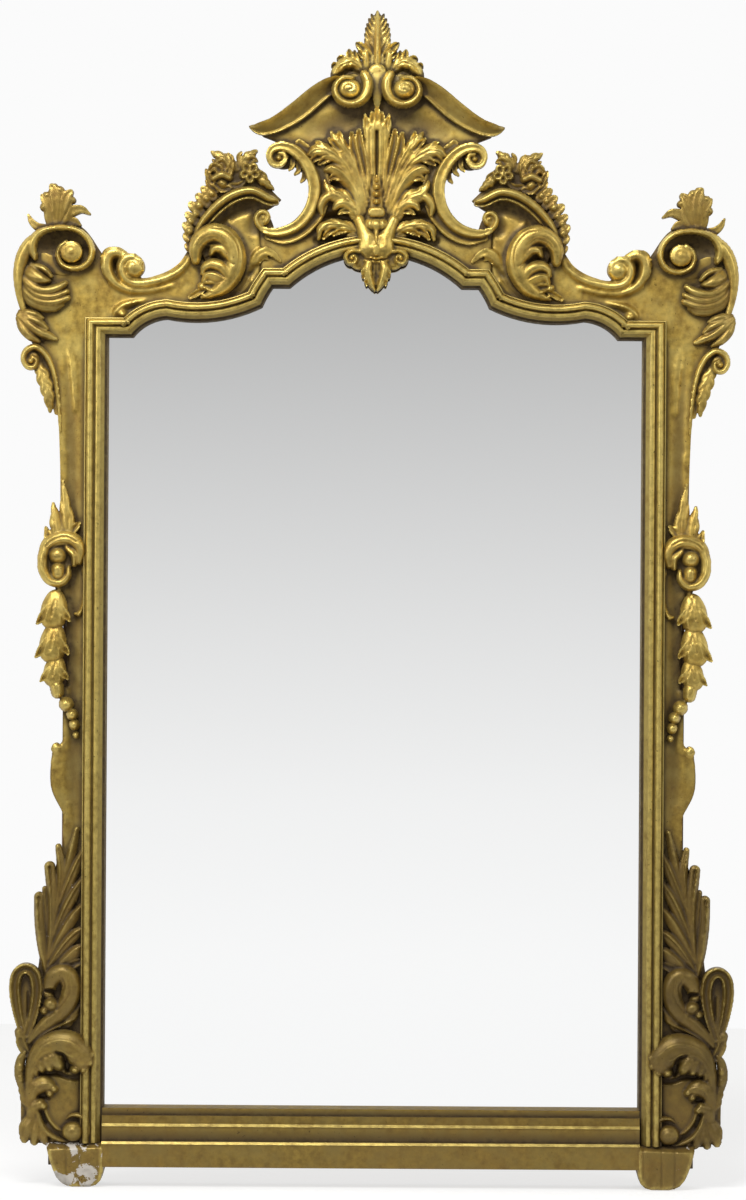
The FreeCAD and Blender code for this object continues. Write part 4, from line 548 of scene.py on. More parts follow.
SHOULDER_BOARD_CUTS = [
    (groove, [
        (208, 232, 8, 5), (220, 219, 9, 8), (236, 209, 9, 9), (252, 206, 9, 8), (258, 214, 9, 7),
        (254, 228, 9, 4),
    ]),
    (groove, [(199, 252, 7, 7), (208, 254, 9, 9), (219, 260, 7, 7)]),
    (pad, [
        (128, 283, 5, 0), (147, 284, 6, 0), (160, 281, 6.4, 0), (173, 275.4, 6.4, 0), (184, 266.6, 6, 0),
        (191, 255, 5, 0),
    ]),
    (roll, [
        (124, 254.6, 3.8, 12), (116.6, 252.6, 5.6, 14), (109.4, 254.8, 6.6, 15), (106.6, 262.6, 6.2, 15),
        (108.8, 272.8, 5.6, 13), (116, 282.4, 5, 11), (126.6, 288.4, 4.4, 9), (139, 290.8, 3.6, 7),
        (154, 290, 3, 5), (172, 285.6, 2.2, 3),
    ]),
    (groove, [
        (116, 257.6, 1.6, 6), (114.4, 264, 2.4, 12), (116.4, 273, 2.8, 13), (122, 281, 2.6, 11),
        (131, 286.4, 1.8, 7), (142, 288, 1.2, 3),
    ]),
    (roll, [
        (133.6, 257.4, 3.8, 16), (126, 258.4, 4.2, 17), (121.4, 265.4, 4.4, 17), (122.2, 274, 4.4, 16),
        (128, 280.8, 4.4, 15), (136.6, 283.4, 4.4, 14), (147, 283, 4.4, 12), (160, 280.4, 4.2, 10),
        (173, 275, 3.8, 8), (184, 266.6, 3.4, 6), (190.6, 256, 2.8, 4),
    ]),
    (groove, [
        (126, 276, 0.8, 1.6), (132, 281.6, 1, 2.4), (146, 283.6, 1, 2.4), (161, 281, 1, 2),
        (176, 274, 0.8, 1.4),
    ]),
    (roll, [
        (133.6, 257.4, 3.4, 16), (140, 261.4, 3.2, 17), (141.4, 268.8, 3.1, 17), (136.6, 274.6, 2.9, 16),
        (130, 273.4, 2.5, 15), (127.6, 268, 2.2, 14),
    ]),
    (pad, [(132.8, 267.4, 6.4, 19), (133.2, 267.4, 6.4, 19)]),
    (groove, ring(133, 267.4, 4.4, 0.9, 2)),
    (rib, [
        (229, 221, 1.2, 2), (238, 236, 1.6, 4), (245.4, 254, 1.8, 5), (246.4, 271, 1.8, 5),
        (240, 285, 1.8, 5), (227, 295, 1.6, 5), (210, 299.6, 1.4, 4), (190, 300.6, 1.1, 2),
    ]),
    (gouge, [(238, 252, 3, 1), (235, 236, 3.4, 3), (228.4, 220.4, 1.6, 1)]),
    (gouge, [(245, 260, 3, 1), (242.6, 244, 3.4, 3), (236, 229, 1.6, 1)]),
    (gouge, [
        (252, 268, 3.4, 3), (256, 257.6, 4.4, 7), (264, 251.4, 4.4, 8), (272, 253.6, 3.4, 7),
        (279.6, 260.4, 1.4, 4),
    ]),
    (gouge, [(258, 262, 2.4, 4), (263.6, 257, 2.4, 6), (267, 258.6, 1.2, 4)]),
    (groove, [(262, 263, 1.6, 6), (269, 261.4, 2.6, 9), (278, 262.6, 1.6, 5)]),
    (groove, [(249, 275, 1.4, 5), (253.4, 270, 2.2, 7), (256, 266, 1.4, 5)]),
    (gouge, [(238, 298, 2.6, 3), (246, 291, 3, 5), (252, 281, 2.4, 5)]),
    (groove, [(241, 297, 1.2, 4), (247, 291, 1.7, 6), (251, 284, 1.2, 5)]),
    (roll, [
        (113.6, 318, 1.8, 4), (116, 311.4, 2.6, 7), (122.4, 306, 2.8, 8), (131, 303, 2.5, 7),
        (144, 300.4, 1.6, 4),
    ]),
    (groove, [(127, 311.4, 1.6, 4), (133, 307.4, 2, 5), (140, 304.8, 1.2, 3)]),
    (dome, [(122.6, 314.4, 4.6, 10), (123, 314.6, 4.6, 10)]),
]
C_SCROLL_CUTS = [
    (strap, [
        (262, 229, 2.6, 12), (268, 232, 3.6, 14), (276, 232.8, 4.2, 15), (286, 231, 4.8, 17),
        (297, 225.6, 5.2, 18), (306.6, 215.6, 5.6, 19), (312.6, 203, 5.8, 19), (314.6, 188.6, 6, 19),
        (311.8, 174.4, 6, 19), (304.6, 161, 5.8, 19), (294, 151, 5.4, 19), (282, 147, 4.6, 19),
        (273, 149.4, 3.8, 19), (269.4, 156.4, 3.3, 19), (272.4, 163.6, 3, 19), (279.6, 165.4, 2.8, 18),
        (285, 161, 2.5, 17), (284.6, 155.4, 2.1, 16), (280, 153.8, 1.8, 15),
    ]),
    (gouge, [
        (268, 237, 3, 4), (285, 239.6, 4.6, 7), (301, 233, 5.4, 9), (315, 219.6, 6, 10),
        (322, 204, 6.2, 10), (324.6, 188, 6.2, 10), (321, 171, 6, 10), (312, 155.6, 5.4, 9),
        (300, 144, 4.4, 6),
    ]),
    (pad, [(278.6, 157, 9, 8), (279.2, 157, 9, 8)]),
    (dome, [(278.6, 158.4, 3, 16), (279, 158.6, 3, 16)]),
    (roll, [
        (262, 229, 2.6, 12), (257.6, 224, 2.7, 13), (256.6, 217.4, 2.7, 14), (260.4, 212.6, 2.6, 15),
        (266, 213, 2.4, 15), (268.4, 217.6, 2.3, 14), (266, 221.6, 2, 13),
    ]),
    (pad, [(262.6, 218.6, 6.6, 9), (263, 219, 6.6, 9)]),
    (dome, [(263.4, 217.8, 3, 13), (263.7, 218, 3, 13)]),
    (gouge, [(293, 160, 2.4, 8), (292.6, 166, 2.2, 8), (289.6, 169.6, 1.1, 6)]),
    (gouge, [(299, 163, 2.6, 8), (298.6, 170.4, 2.4, 8), (295.4, 174, 1.2, 6)]),
    (gouge, [(305, 170, 2.6, 8), (304, 177.6, 2.4, 8), (301.4, 181.4, 1.2, 6)]),
]
HOOD_CUTS = [
    (hood_section, [
        (250.6, 127.6, 0.9, 18), (256, 129.4, 3.4, 26), (263, 129.4, 6, 29), (273, 126.8, 7.2, 30),
        (284, 121.2, 8.2, 30), (293, 115.4, 9, 30), (302, 108.8, 9.4, 30), (311, 101.2, 9.4, 30),
        (320, 93.8, 8.8, 30), (329, 87.8, 8, 29), (336, 85, 7.2, 28),
    ]),
]

# Middle pieces: the same, but the column is counted from the middle line, and the left half is drawn
CREST_VOLUTE_HALF_CUTS = [
    (pad, [(-24, 92, 17, 12), (-24.6, 92, 17, 12)]),
    (pad, [(0, 74, 9, 13), (0, 86, 7, 15), (0, 98, 4.4, 13), (0, 108, 2, 8)]),
    (roll, [
        (-12.6, 76, 4.4, 25), (-9.6, 83, 5.4, 29), (-10, 92, 5.6, 31), (-15, 100.6, 5, 32),
        (-24, 105, 4.2, 33), (-33.4, 103.6, 3.9, 33), (-40, 98, 3.8, 33), (-42, 90.4, 3.6, 32),
        (-39, 83.4, 3.4, 31), (-33, 79.6, 3.2, 30), (-26, 79.6, 2.8, 30),
    ]),
    (groove, [(-10, 83, 0.8, 2), (-11, 93, 0.9, 2.4), (-17, 100.6, 0.9, 2.4), (-27, 104.4, 0.8, 2)]),
    (roll, [(-29, 90.6, 10.2, 34), (-26, 90.8, 10.2, 35)]),
    (groove, [
        (-27, 92, 1, 3), (-24.4, 91, 1, 3), (-24.4, 87.4, 1, 3), (-28.4, 85.6, 1, 3), (-33, 87.4, 1, 3),
        (-34, 92.6, 0.9, 2), (-30, 96.4, 0.8, 2),
    ]),
]
FINIAL_HALF_CUTS = [
    (pad, [(0, 78, 15, 8), (0, 66, 15, 9), (0, 58, 12, 10)]),
    (pad, [(-17, 77, 4, 5), (-29, 73, 6, 6), (-39, 76, 3.4, 5)]),
    (roll, [
        (0, 68, 8, 12), (0, 54, 9, 15), (0, 40, 8, 16), (0, 28, 7, 15), (0, 19, 4.4, 13),
        (0, 12.6, 1.6, 10),
    ]),
    (gouge, [(-3.4, 56, 4.2, 15), (-8, 46, 4, 17), (-11.4, 40, 1.8, 12)]),
    (gouge, [(-3.2, 51, 3.4, 15), (-8, 41, 3.2, 16), (-11.8, 34.4, 1.4, 12)]),
    (gouge, [(-3, 44, 3.4, 15), (-7.6, 35, 3.4, 17), (-11, 29, 1.5, 12)]),
    (gouge, [(-2.8, 38, 3.2, 15), (-6.6, 30, 3, 16), (-10, 24.4, 1.3, 11)]),
    (gouge, [(-2.4, 31, 3, 15), (-5.6, 24, 2.8, 16), (-8.2, 19.4, 1.3, 11)]),
    (gouge, [(-1.8, 25, 2.6, 14), (-4, 19, 2.3, 15), (-5.8, 14.8, 1.2, 11)]),
    (roll, [(0, 72, 4.4, 17), (0, 60, 4.6, 22), (0, 44, 3.8, 24), (0, 28, 2.6, 22), (0, 12, 1.2, 14)]),
    (groove, [(-2.6, 58, 0.7, 1.6), (-2.2, 44, 0.7, 2), (-1.4, 26, 0.6, 1.6)]),
    (gouge, [(-6, 60, 4, 17), (-12, 51.6, 5, 20), (-17, 46, 3.8, 18), (-20.2, 43.6, 1.6, 13)]),
    (gouge, [(-8, 62, 3.4, 16), (-14, 56, 3.6, 18), (-18, 52.6, 1.6, 14)]),
    (roll, [(-10, 77, 3, 12), (-10.8, 65, 4.4, 18), (-11.6, 55, 3.6, 20), (-12.8, 50, 1.6, 15)]),
    (roll, [(-4.6, 77, 2.4, 12), (-4.8, 67, 3, 17), (-5.4, 58, 2.2, 17)]),
    (Leaf(4, 0.16, 0.8, 0.16, 0.15), [
        (-13, 76, 3.4, 12), (-18, 67, 5.4, 18), (-26, 62.4, 6.8, 23), (-35, 65.2, 6.4, 24),
        (-42, 73, 4.4, 20), (-46, 80, 1.6, 13),
    ]),
    (gouge, [(-20, 64, 4, 18), (-22.6, 57, 3.6, 20), (-22.8, 52, 1.5, 14)]),
    (gouge, [(-25, 62, 4.4, 19), (-27.6, 55.6, 3.8, 21), (-28.4, 50.8, 1.5, 14)]),
    (gouge, [(-31, 62, 4, 19), (-35.6, 58.4, 3.2, 20), (-39, 58.8, 1.4, 14)]),
    (gouge, [(-38, 67, 3.4, 18), (-42.4, 65, 2.8, 18), (-44.6, 66, 1.3, 13)]),
    (roll, [(-18, 77, 2.6, 9), (-26, 73.4, 3.2, 12), (-33, 76.6, 2.2, 9)]),
]
PALMETTE_HALF_CUTS = [
    (roll, [(0, 250, 14, 12), (0, 236, 17, 14), (0, 216, 15, 14), (0, 198, 12, 13), (0, 184, 10, 12)]),
    (pad, [(0, 198, 10, 12), (0, 164, 11.6, 13), (0, 134, 12.4, 14)]),
    (gouge, [(-8.4, 136, 4.8, 14), (-9.8, 126, 4.4, 15), (-11.4, 119, 2.2, 13), (-12, 115, 1, 10)]),
    (gouge, [(-4, 136, 4.6, 14), (-4.4, 122, 4, 14), (-5, 113.6, 1.6, 11)]),
    (gouge, [(0, 134, 4.4, 15), (0, 118, 3.8, 15), (0, 103, 1.2, 10)]),
    (groove, [(0, 180, 1.3, 5), (0, 156, 2, 8), (0, 133, 1.8, 9)]),
    (groove, [(-5.4, 188, 0.8, 1.6), (-6.6, 160, 0.9, 2), (-7, 130, 0.8, 1.6)]),
    (groove, [
        (-4, 178, 1.4, 3), (-6.6, 192, 2, 5), (-8.6, 208, 2.2, 6), (-11.4, 218, 2, 5), (-13, 228, 1.4, 3),
    ]),
    (gouge, [(-7, 196, 3, 11), (-12.8, 166, 4.4, 14), (-17.2, 144, 4.8, 16), (-18, 132, 2.4, 14)]),
    (gouge, [(-9, 200, 3, 11), (-17, 172, 4.4, 14), (-23, 150, 4.8, 16), (-25.2, 134.6, 2.2, 14)]),
    (Leaf(4, 0.24, 0.9, 0.2), [
        (-10, 206, 3.6, 11), (-19.6, 176, 5.4, 14), (-28.6, 156, 6.6, 17), (-37, 144, 6, 19),
        (-42.6, 137.4, 3.4, 17), (-45.4, 133, 1.2, 12),
    ]),
    (gouge, [(-34, 147, 3.8, 17), (-37, 139, 3.6, 19), (-37.8, 133.4, 1.6, 15)]),
    (gouge, [(-37, 150, 3.8, 17), (-43, 144, 3.4, 19), (-47.4, 140, 1.6, 15)]),
    (Leaf(5, 0.2, 0.9, 0.2), [
        (-12, 212, 4, 11), (-23, 182, 5.6, 14), (-35, 163, 7.6, 18), (-50, 153, 8.6, 21),
        (-61, 152, 6.4, 22), (-67.6, 156, 2.6, 18),
    ]),
    (gouge, [(-45, 159, 4, 16), (-52, 161, 3.8, 18), (-57, 164.6, 1.8, 14)]),
    (gouge, [(-55, 157, 4, 18), (-62, 160, 3.4, 19), (-65.4, 164, 1.6, 15)]),
    (gouge, [(-52, 151, 4, 19), (-57, 145.6, 3.2, 19), (-60, 143, 1.4, 14)]),
    (curl, [
        (-15, 216, 3.6, 10), (-24, 191, 5.4, 14), (-34, 176.6, 6.4, 18), (-44, 170.4, 5.6, 20),
        (-50, 171.4, 2.6, 17),
    ]),
    (gouge, [(-36, 179, 3.4, 13), (-43, 178, 3.2, 15), (-47, 180.4, 1.6, 12)]),
    (Leaf(4, 0.24, 0.9, 0.2, -0.2), [
        (-14, 230, 4.6, 10), (-22.4, 211, 7, 14), (-33, 199, 8.4, 18), (-44, 194.4, 7.2, 20),
        (-49.4, 188, 4, 18), (-51.6, 182.2, 1.5, 14),
    ]),
    (roll, [
        (-42, 195.4, 4.8, 18), (-51, 198.6, 5, 20), (-55.6, 206.4, 4.4, 19), (-54.6, 214.6, 2.2, 15),
    ]),
    (roll, [(-24, 208, 4.8, 15), (-31, 203.6, 5.4, 19), (-38, 204.8, 4.4, 20), (-41.8, 209, 2.2, 16)]),
    (gouge, [(-26, 212, 3, 12), (-33, 211.6, 2.8, 14), (-37, 214, 1.4, 12)]),
    (Leaf(4, 0.2, 0.9, 0.2, 0.2), [
        (-12, 242, 4.4, 10), (-22, 231, 5.8, 14), (-34, 226, 6, 17), (-47, 225.4, 5.6, 19),
        (-55.6, 230, 4, 19), (-57.6, 239, 1.8, 14),
    ]),
    (gouge, [(-29, 230, 3.4, 14), (-37, 232.4, 3, 16), (-42.4, 235.6, 1.4, 12)]),
    (gouge, [(-42, 230, 3.4, 15), (-49, 234.4, 3, 17), (-52.4, 239, 1.4, 13)]),
    (roll, [(-11, 248, 3.4, 10), (-18, 239.4, 3.8, 12), (-27, 236, 2.4, 10)]),
]
BEAD_DROP_HALF_CUTS = [
    (roll, [(0, 206, 6.2, 16), (0, 194, 5.2, 17), (0, 184, 3.8, 16), (0, 177.4, 1.2, 13)]),
    (dome, [(0, 180.4, 2.4, 19), (0, 180.8, 2.4, 19)]),
    (dome, [(0, 187.4, 3, 21), (0, 187.8, 3, 21)]),
    (dome, [(0, 194.8, 3.3, 22), (0, 195.2, 3.3, 22)]),
    (dome, [(0, 202.2, 3.5, 23), (0, 202.6, 3.5, 23)]),
    (groove, [(-4, 184, 0.9, 3), (0, 184.2, 1, 5)]),
    (groove, [(-5, 191.2, 0.9, 3), (0, 191.4, 1, 5)]),
    (groove, [(-5.6, 198.6, 0.9, 3), (0, 198.8, 1, 5)]),
    (groove, [(-6, 206, 0.9, 3), (0, 206.2, 1, 5)]),
    (pad, [(0, 213.2, 5.6, 20), (-2.6, 213.2, 5.6, 20)]),
    (roll, [(0, 226, 7.6, 25), (-5.2, 225.6, 7, 24)]),
    (groove, [(-8.4, 218.6, 0.8, 4), (0, 218.8, 0.8, 4)]),
    (groove, [(-3.6, 220, 0.8, 2.4), (-4.2, 226, 1, 3), (-2.8, 232.6, 0.8, 2)]),
    (groove, [(-8.6, 221.6, 0.8, 2), (-9, 226, 0.9, 2.4), (-6.8, 231, 0.7, 2)]),
    (roll, [(0, 232.6, 4.2, 22), (0, 239, 3.2, 28), (0, 246, 1.6, 31)]),
]
PENDANT_HALF_CUTS = [
    (pad, [(-8, 252, 12, 15), (-16, 259, 11, 17)]),
    (pad, [(-7.6, 243, 9.6, 24.5), (-7.6, 249, 9.6, 25.5), (0, 249, 9.6, 26)]),
    (roll, [
        (-17, 221, 6, 16), (-12.6, 231, 7.6, 21), (-9.4, 240, 9.4, 26), (-7.6, 249, 10, 28.4),
        (0, 250, 9.6, 28.6),
    ]),
    (pad, [(0, 249, 3.6, 29.4), (0, 253.4, 3.6, 29.4)]),
    (roll, [(-10, 258.4, 1.4, 24), (0, 259.6, 1.6, 28)]),
    (roll, [(-11, 261.4, 1.8, 22), (0, 263, 2, 25)]),
    (roll, [
        (-7.6, 265, 5.4, 24), (-8.6, 270.6, 5.8, 26), (-7, 278, 4.8, 25), (-3.8, 286, 2.8, 22),
        (-1.6, 290, 1.4, 18),
    ]),
    (gouge, [(-8, 266, 4, 24), (-11.8, 272, 3, 25), (-12.6, 277.4, 1.4, 19)]),
    (gouge, [(-6.6, 275, 3.4, 24), (-9.2, 280.4, 2.6, 24), (-9.4, 285, 1.2, 18)]),
    (pad, [(0, 266, 3, 21), (0, 284, 2.4, 19)]),
    (groove, [(0, 265, 2.2, 3), (0, 276, 2.4, 5), (0, 287, 1.4, 3)]),
    (pad, [(-24.6, 258.6, 6, 20), (-25, 258.6, 6, 20)]),
    (roll, [
        (-17, 252.4, 2.6, 24), (-20.4, 251.6, 2.7, 27), (-24, 251.8, 2.8, 28), (-28.8, 254.6, 2.5, 28),
        (-30.2, 259.4, 2.4, 28), (-27.2, 263.8, 2.3, 28), (-22.4, 264, 2.2, 28), (-19.6, 260.4, 2, 27),
        (-21.8, 256.8, 1.8, 26), (-25, 257.6, 1.5, 25),
    ]),
    (dome, [(-24.4, 259.4, 2.8, 27), (-24.7, 259.4, 2.8, 27)]),
]
CREST_BOARD_HALF_CUTS = [
    (pad, [(0, 108, 4.6, 3), (0, 78, 5.4, 8)]),
    (groove, [(-8, 112, 8, 1), (-24, 118, 12, 2.4), (-44, 124, 12, 2.4), (-66, 132, 9, 1.6)]),
    (groove, [(-24, 219, 3, 6), (-38, 217, 5, 12), (-50, 219, 5, 12), (-57, 222, 3, 6)]),
    (groove, [(-24, 240, 3, 6), (-38, 241, 4.4, 10), (-52, 242, 4.4, 10), (-60, 241, 3, 6)]),
    (groove, [(-38, 183, 3, 5), (-48, 181, 4.4, 9), (-58, 178, 4, 6)]),
]


# Where a pixel lies on the front, in metres, with the photograph's lean taken out
def photo_spot(column, row):
    straight_column = column + (row - LEVEL_ROW) * LEAN
    straight_row = row - (column - MIDDLE_COLUMN) * LEAN
    return (straight_column - MIDDLE_COLUMN) * PIXEL, (BASE_ROW - straight_row) * PIXEL


# The same for a middle piece, whose column is counted from the middle line
def middle_spot(offset, row):
    return offset * PIXEL, (BASE_ROW - row) * PIXEL


def smooth_line(rows, place):
    knots = np.array([
        (*place(column, row), half * PIXEL, height * MM)
        for column, row, half, height in rows
    ])
    before = 2 * knots[0] - knots[1]
    after = 2 * knots[-1] - knots[-2]
    padded = np.vstack([before, knots, after])
    runs = []
    for a, b, c, d in zip(padded[:-3], padded[1:-2], padded[2:-1], padded[3:]):
        count = max(2, math.ceil(math.dist(b[:2], c[:2]) / PIXEL))
        t = np.linspace(0, 1, count, endpoint=False)[:, None]
        cubic = 3 * b - a - 3 * c + d
        square = 2 * a - 5 * b + 4 * c - d
        runs.append(0.5 * (2 * b + (c - a) * t + square * t ** 2 + cubic * t ** 3))
    runs.append(knots[-1:])
    line = np.vstack(runs)
    line[:, 2] = np.maximum(line[:, 2], 0.5 * PIXEL)
    return line


# A flower of round petals about a button
def rose_cuts(place, reach, petals):
    column, row = place
    cuts = []
    for petal in range(petals):
        turn = 2 * math.pi * (petal + 0.25) / petals
        across = reach * math.cos(turn)
        down = reach * math.sin(turn)
        cuts.append((gouge, [
            (column + 0.62 * across, row + 0.62 * down, 0.58 * reach, 17),
            (column + 0.80 * across, row + 0.80 * down, 0.60 * reach, 18),
        ]))
    cuts.append((dome, [(column, row, 0.44 * reach, 21), (column + 0.3, row, 0.44 * reach, 21)]))
    cuts.append((groove, [
        (column - 0.6, row - 0.4, 0.2 * reach, 5),
        (column + 0.6, row - 0.4, 0.2 * reach, 5),
    ]))
    return cuts


def turned_over(section):
    if section in (groove, ridge):
        return section
    if isinstance(section, Leaf):
        return section.turned_over()
    return lambda u: section(-u)


def mirrored_cuts(cuts):
    other_side = []
    for section, rows in cuts:
        mirrored_rows = [(-column, row, half, height) for column, row, half, height in rows]
        other_side.append((turned_over(section), mirrored_rows))
    return other_side


# A carver's blank: a grid over the front that keeps the height left at each place, and how far inside
# the edge that place is
class Blank:
    def __init__(self, low, high, pitch):
        self.pitch = pitch
        self.x = np.arange(low[0], high[0] + pitch, pitch)
        self.z = np.arange(low[1], high[1] + pitch, pitch)
        self.height = np.full((len(self.z), len(self.x)), -np.inf)
        self.rim = np.full((len(self.z), len(self.x)), -np.inf)
        self.cover = np.full((len(self.z), len(self.x)), -1.0)

    def cut(self, line, section):
        steps = np.gradient(line[:, :2], axis=0)
        spans = np.maximum(np.hypot(steps[:, 0], steps[:, 1]), 1e-9)
        share = np.full(self.height.shape, np.inf)
        level = np.zeros(self.height.shape)
        reach = np.zeros(self.height.shape)
        side = np.zeros(self.height.shape)
        run = np.zeros(self.height.shape)
        gone = np.concatenate([[0], np.cumsum(np.hypot(*np.diff(line[:, :2], axis=0).T))])
        for (x, z, half, height), step, span, length in zip(line, steps, spans, gone):
            edge = half + 3 * self.pitch
            first, last = np.searchsorted(self.x, (x - edge, x + edge))
            lower, upper = np.searchsorted(self.z, (z - edge, z + edge))
            if first == last or lower == upper:
                continue
            window = (slice(lower, upper), slice(first, last))
            dx = self.x[None, first:last] - x
            dz = self.z[lower:upper, None] - z
            onward = (dx * step[0] + dz * step[1]) / span
            past = np.abs(onward) - 0.6 * span
            off = (dz * step[0] - dx * step[1]) / span
            near = np.hypot(off, np.maximum(past, 0)) / half
            closer = near < share[window]
            share[window][closer] = near[closer]
            level[window][closer] = height
            reach[window][closer] = half
            side[window][closer] = np.sign(off[closer])
            run[window][closer] = (length + onward[closer]) / gone[-1]
        if isinstance(section, Leaf):
            share = share / section.edge(run, side)
        met = np.isfinite(share)
        inside = share < 1
        away = np.clip(share, 0, 1)
        if isinstance(section, Leaf):
            cut = level * section.surface(away, run, side)
        else:
            cut = level * section(away * side)
        if section is groove:
            self.height[inside] -= cut[inside]
            return
        if section is ridge:
            self.height[inside] += cut[inside]
            return
        self.height[inside] = np.maximum(self.height[inside], cut[inside])
        cover = np.full(share.shape, -np.inf)
        cover[met] = (1 - share[met]) * reach[met]
        outside = ~inside & (cover > -1.5 * self.pitch)
        self.rim[outside] = np.maximum(self.rim[outside], cut[outside])
        self.cover[met] = np.maximum(self.cover[met], cover[met])

    # A last rub with fine paper takes the steps of the grid away
    def rub_down(self, passes):
        kept = np.isfinite(self.height)
        for _ in range(passes):
            total = np.zeros(self.height.shape)
            count = np.zeros(self.height.shape)
            filled = np.where(kept, self.height, 0)
            for row_shift in (-1, 0, 1):
                for column_shift in (-1, 0, 1):
                    weight = (2 - abs(row_shift)) * (2 - abs(column_shift))
                    total += weight * np.roll(filled, (row_shift, column_shift), (0, 1))
                    count += weight * np.roll(kept, (row_shift, column_shift), (0, 1))
            self.height = np.where(kept, total / np.maximum(count, 1), self.height)


def carve(cuts, place, pitch=CARVING_PITCH):
    lines = [(section, smooth_line(rows, place)) for section, rows in cuts]
    shaping = np.vstack([line for section, line in lines if section not in (groove, ridge)])
    margin = shaping[:, 2].max() + 4 * pitch
    low = shaping[:, :2].min(0) - margin
    high = shaping[:, :2].max(0) + margin
    blank = Blank(low, high, pitch)
    for section, line in lines:
        blank.cut(line, section)
    blank.rub_down(1)
    return blank


# The outline of a node's front face, as straight runs
def front_outline(node):
    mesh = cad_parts[node].data
    mesh.calc_loop_triangles()
    places = np.array([v.co for v in mesh.vertices])
    keys = np.round(places[:, [0, 2]] * 1e5).astype(int)
    runs = {}
    for triangle in mesh.loop_triangles:
        corners = list(triangle.vertices)
        if triangle.normal.y > -0.9:
            continue
        for a, b in zip(corners, corners[1:] + corners[:1]):
            key = frozenset((tuple(keys[a]), tuple(keys[b])))
            if key in runs:
                del runs[key]
            else:
                runs[key] = (places[a][[0, 2]], places[b][[0, 2]])
    return np.array(list(runs.values()))


# A board's blank: flat at the boards' front, with its edge taken down to a small round, but not where it is
# jointed to the next board on an upright line
def board_blank(runs, pitch, round_over, joints=(), margin=0.0):
    low = runs.reshape(-1, 2).min(0) - 3 * pitch - margin
    high = runs.reshape(-1, 2).max(0) + 3 * pitch + margin
    blank = Blank(low, high, pitch)
    x = blank.x[None, :]
    z = blank.z[:, None]
    nearest = np.full(blank.height.shape, np.inf)
    free = np.full(blank.height.shape, np.inf)
    inside = np.zeros(blank.height.shape, bool)
    for (ax, az), (bx, bz) in runs:
        length = max((bx - ax) ** 2 + (bz - az) ** 2, 1e-12)
        share = np.clip(((x - ax) * (bx - ax) + (z - az) * (bz - az)) / length, 0, 1)
        apart = np.hypot(x - ax - share * (bx - ax), z - az - share * (bz - az))
        nearest = np.minimum(nearest, apart)
        jointed = any(abs(ax - joint) < MM and abs(bx - joint) < MM for joint in joints)
        if not jointed:
            free = np.minimum(free, apart)
        crossing = (az > z) != (bz > z)
        if az != bz:
            inside ^= crossing & (x < ax + (bx - ax) * (z - az) / (bz - az))
    blank.cover = np.where(inside, nearest, -nearest)
    share = np.clip(1 - np.where(inside, free, 0 * free) / round_over, 0, 1)
    share = np.where(inside | (free < nearest + MM), share, 0)
    blank.height = np.where(blank.cover > -3 * pitch, -round_over * (1 - np.sqrt(1 - share ** 2)), -np.inf)
    blank.rim = blank.height.copy()
    return blank


# A closed solid from a blank: carved front, straight edges and a flat back
def blank_solid(blank, front, back):
    cover = blank.cover
    height = np.where(np.isfinite(blank.height) & (cover > 0), blank.height, blank.rim)
    for _ in range(3):
        missing = ~np.isfinite(height)
        if not missing.any():
            break
        best = height.copy()
        for shift, axis in ((1, 0), (-1, 0), (1, 1), (-1, 1)):
            best = np.maximum(best, np.roll(height, shift, axis))
        height = np.where(missing, best, height)
    height = np.where(np.isfinite(height), height, 0)
    middle = (cover[:-1, :-1] + cover[:-1, 1:] + cover[1:, 1:] + cover[1:, :-1]) / 4
    kept = middle > 0
    used = np.zeros(cover.shape, bool)
    for rows in (slice(None, -1), slice(1, None)):
        for columns in (slice(None, -1), slice(1, None)):
            used[rows, columns] |= kept
    slope_z, slope_x = np.gradient(cover, blank.pitch)
    steep = np.maximum(slope_x ** 2 + slope_z ** 2, 0.2)
    padded = np.zeros((cover.shape[0] + 1, cover.shape[1] + 1), int)
    padded[1:-1, 1:-1] = kept
    full = padded[:-1, :-1] + padded[:-1, 1:] + padded[1:, 1:] + padded[1:, :-1]
    edge = used & (full < 4)
    limit = 0.75 * blank.pitch
    move_x = np.where(edge, np.clip(-cover * slope_x / steep, -limit, limit), 0)
    move_z = np.where(edge, np.clip(-cover * slope_z / steep, -limit, limit), 0)
    x = blank.x[None, :] + move_x
    z = blank.z[:, None] + move_z
    index = np.full(cover.shape, -1)
    index[used] = np.arange(used.sum())
    count = int(used.sum())
    fronts = np.stack([x[used], -(front + height[used]), z[used]], 1)
    backs = np.stack([x[used], np.full(count, -back), z[used]], 1)
    a = index[:-1, :-1][kept]
    b = index[:-1, 1:][kept]
    c = index[1:, 1:][kept]
    d = index[1:, :-1][kept]
    faces = [np.stack([a, b, c, d], 1), np.stack([d, c, b, a], 1) + count]
    bordered = np.pad(kept, 1)
    tall, wide = kept.shape
    for row_shift, column_shift, first, last in ((-1, 0, b, a), (0, 1, c, b), (1, 0, d, c), (0, -1, a, d)):
        rows = slice(1 + row_shift, 1 + row_shift + tall)
        columns = slice(1 + column_shift, 1 + column_shift + wide)
        bare = ~bordered[rows, columns][kept]
        start = first[bare]
        end = last[bare]
        faces.append(np.stack([start, end, end + count, start + count], 1))
    return np.vstack([fronts, backs]), np.vstack(faces)


def mirrored_solid(places, faces):
    return places * (-1, 1, 1), faces[:, ::-1]


carved_pieces = []


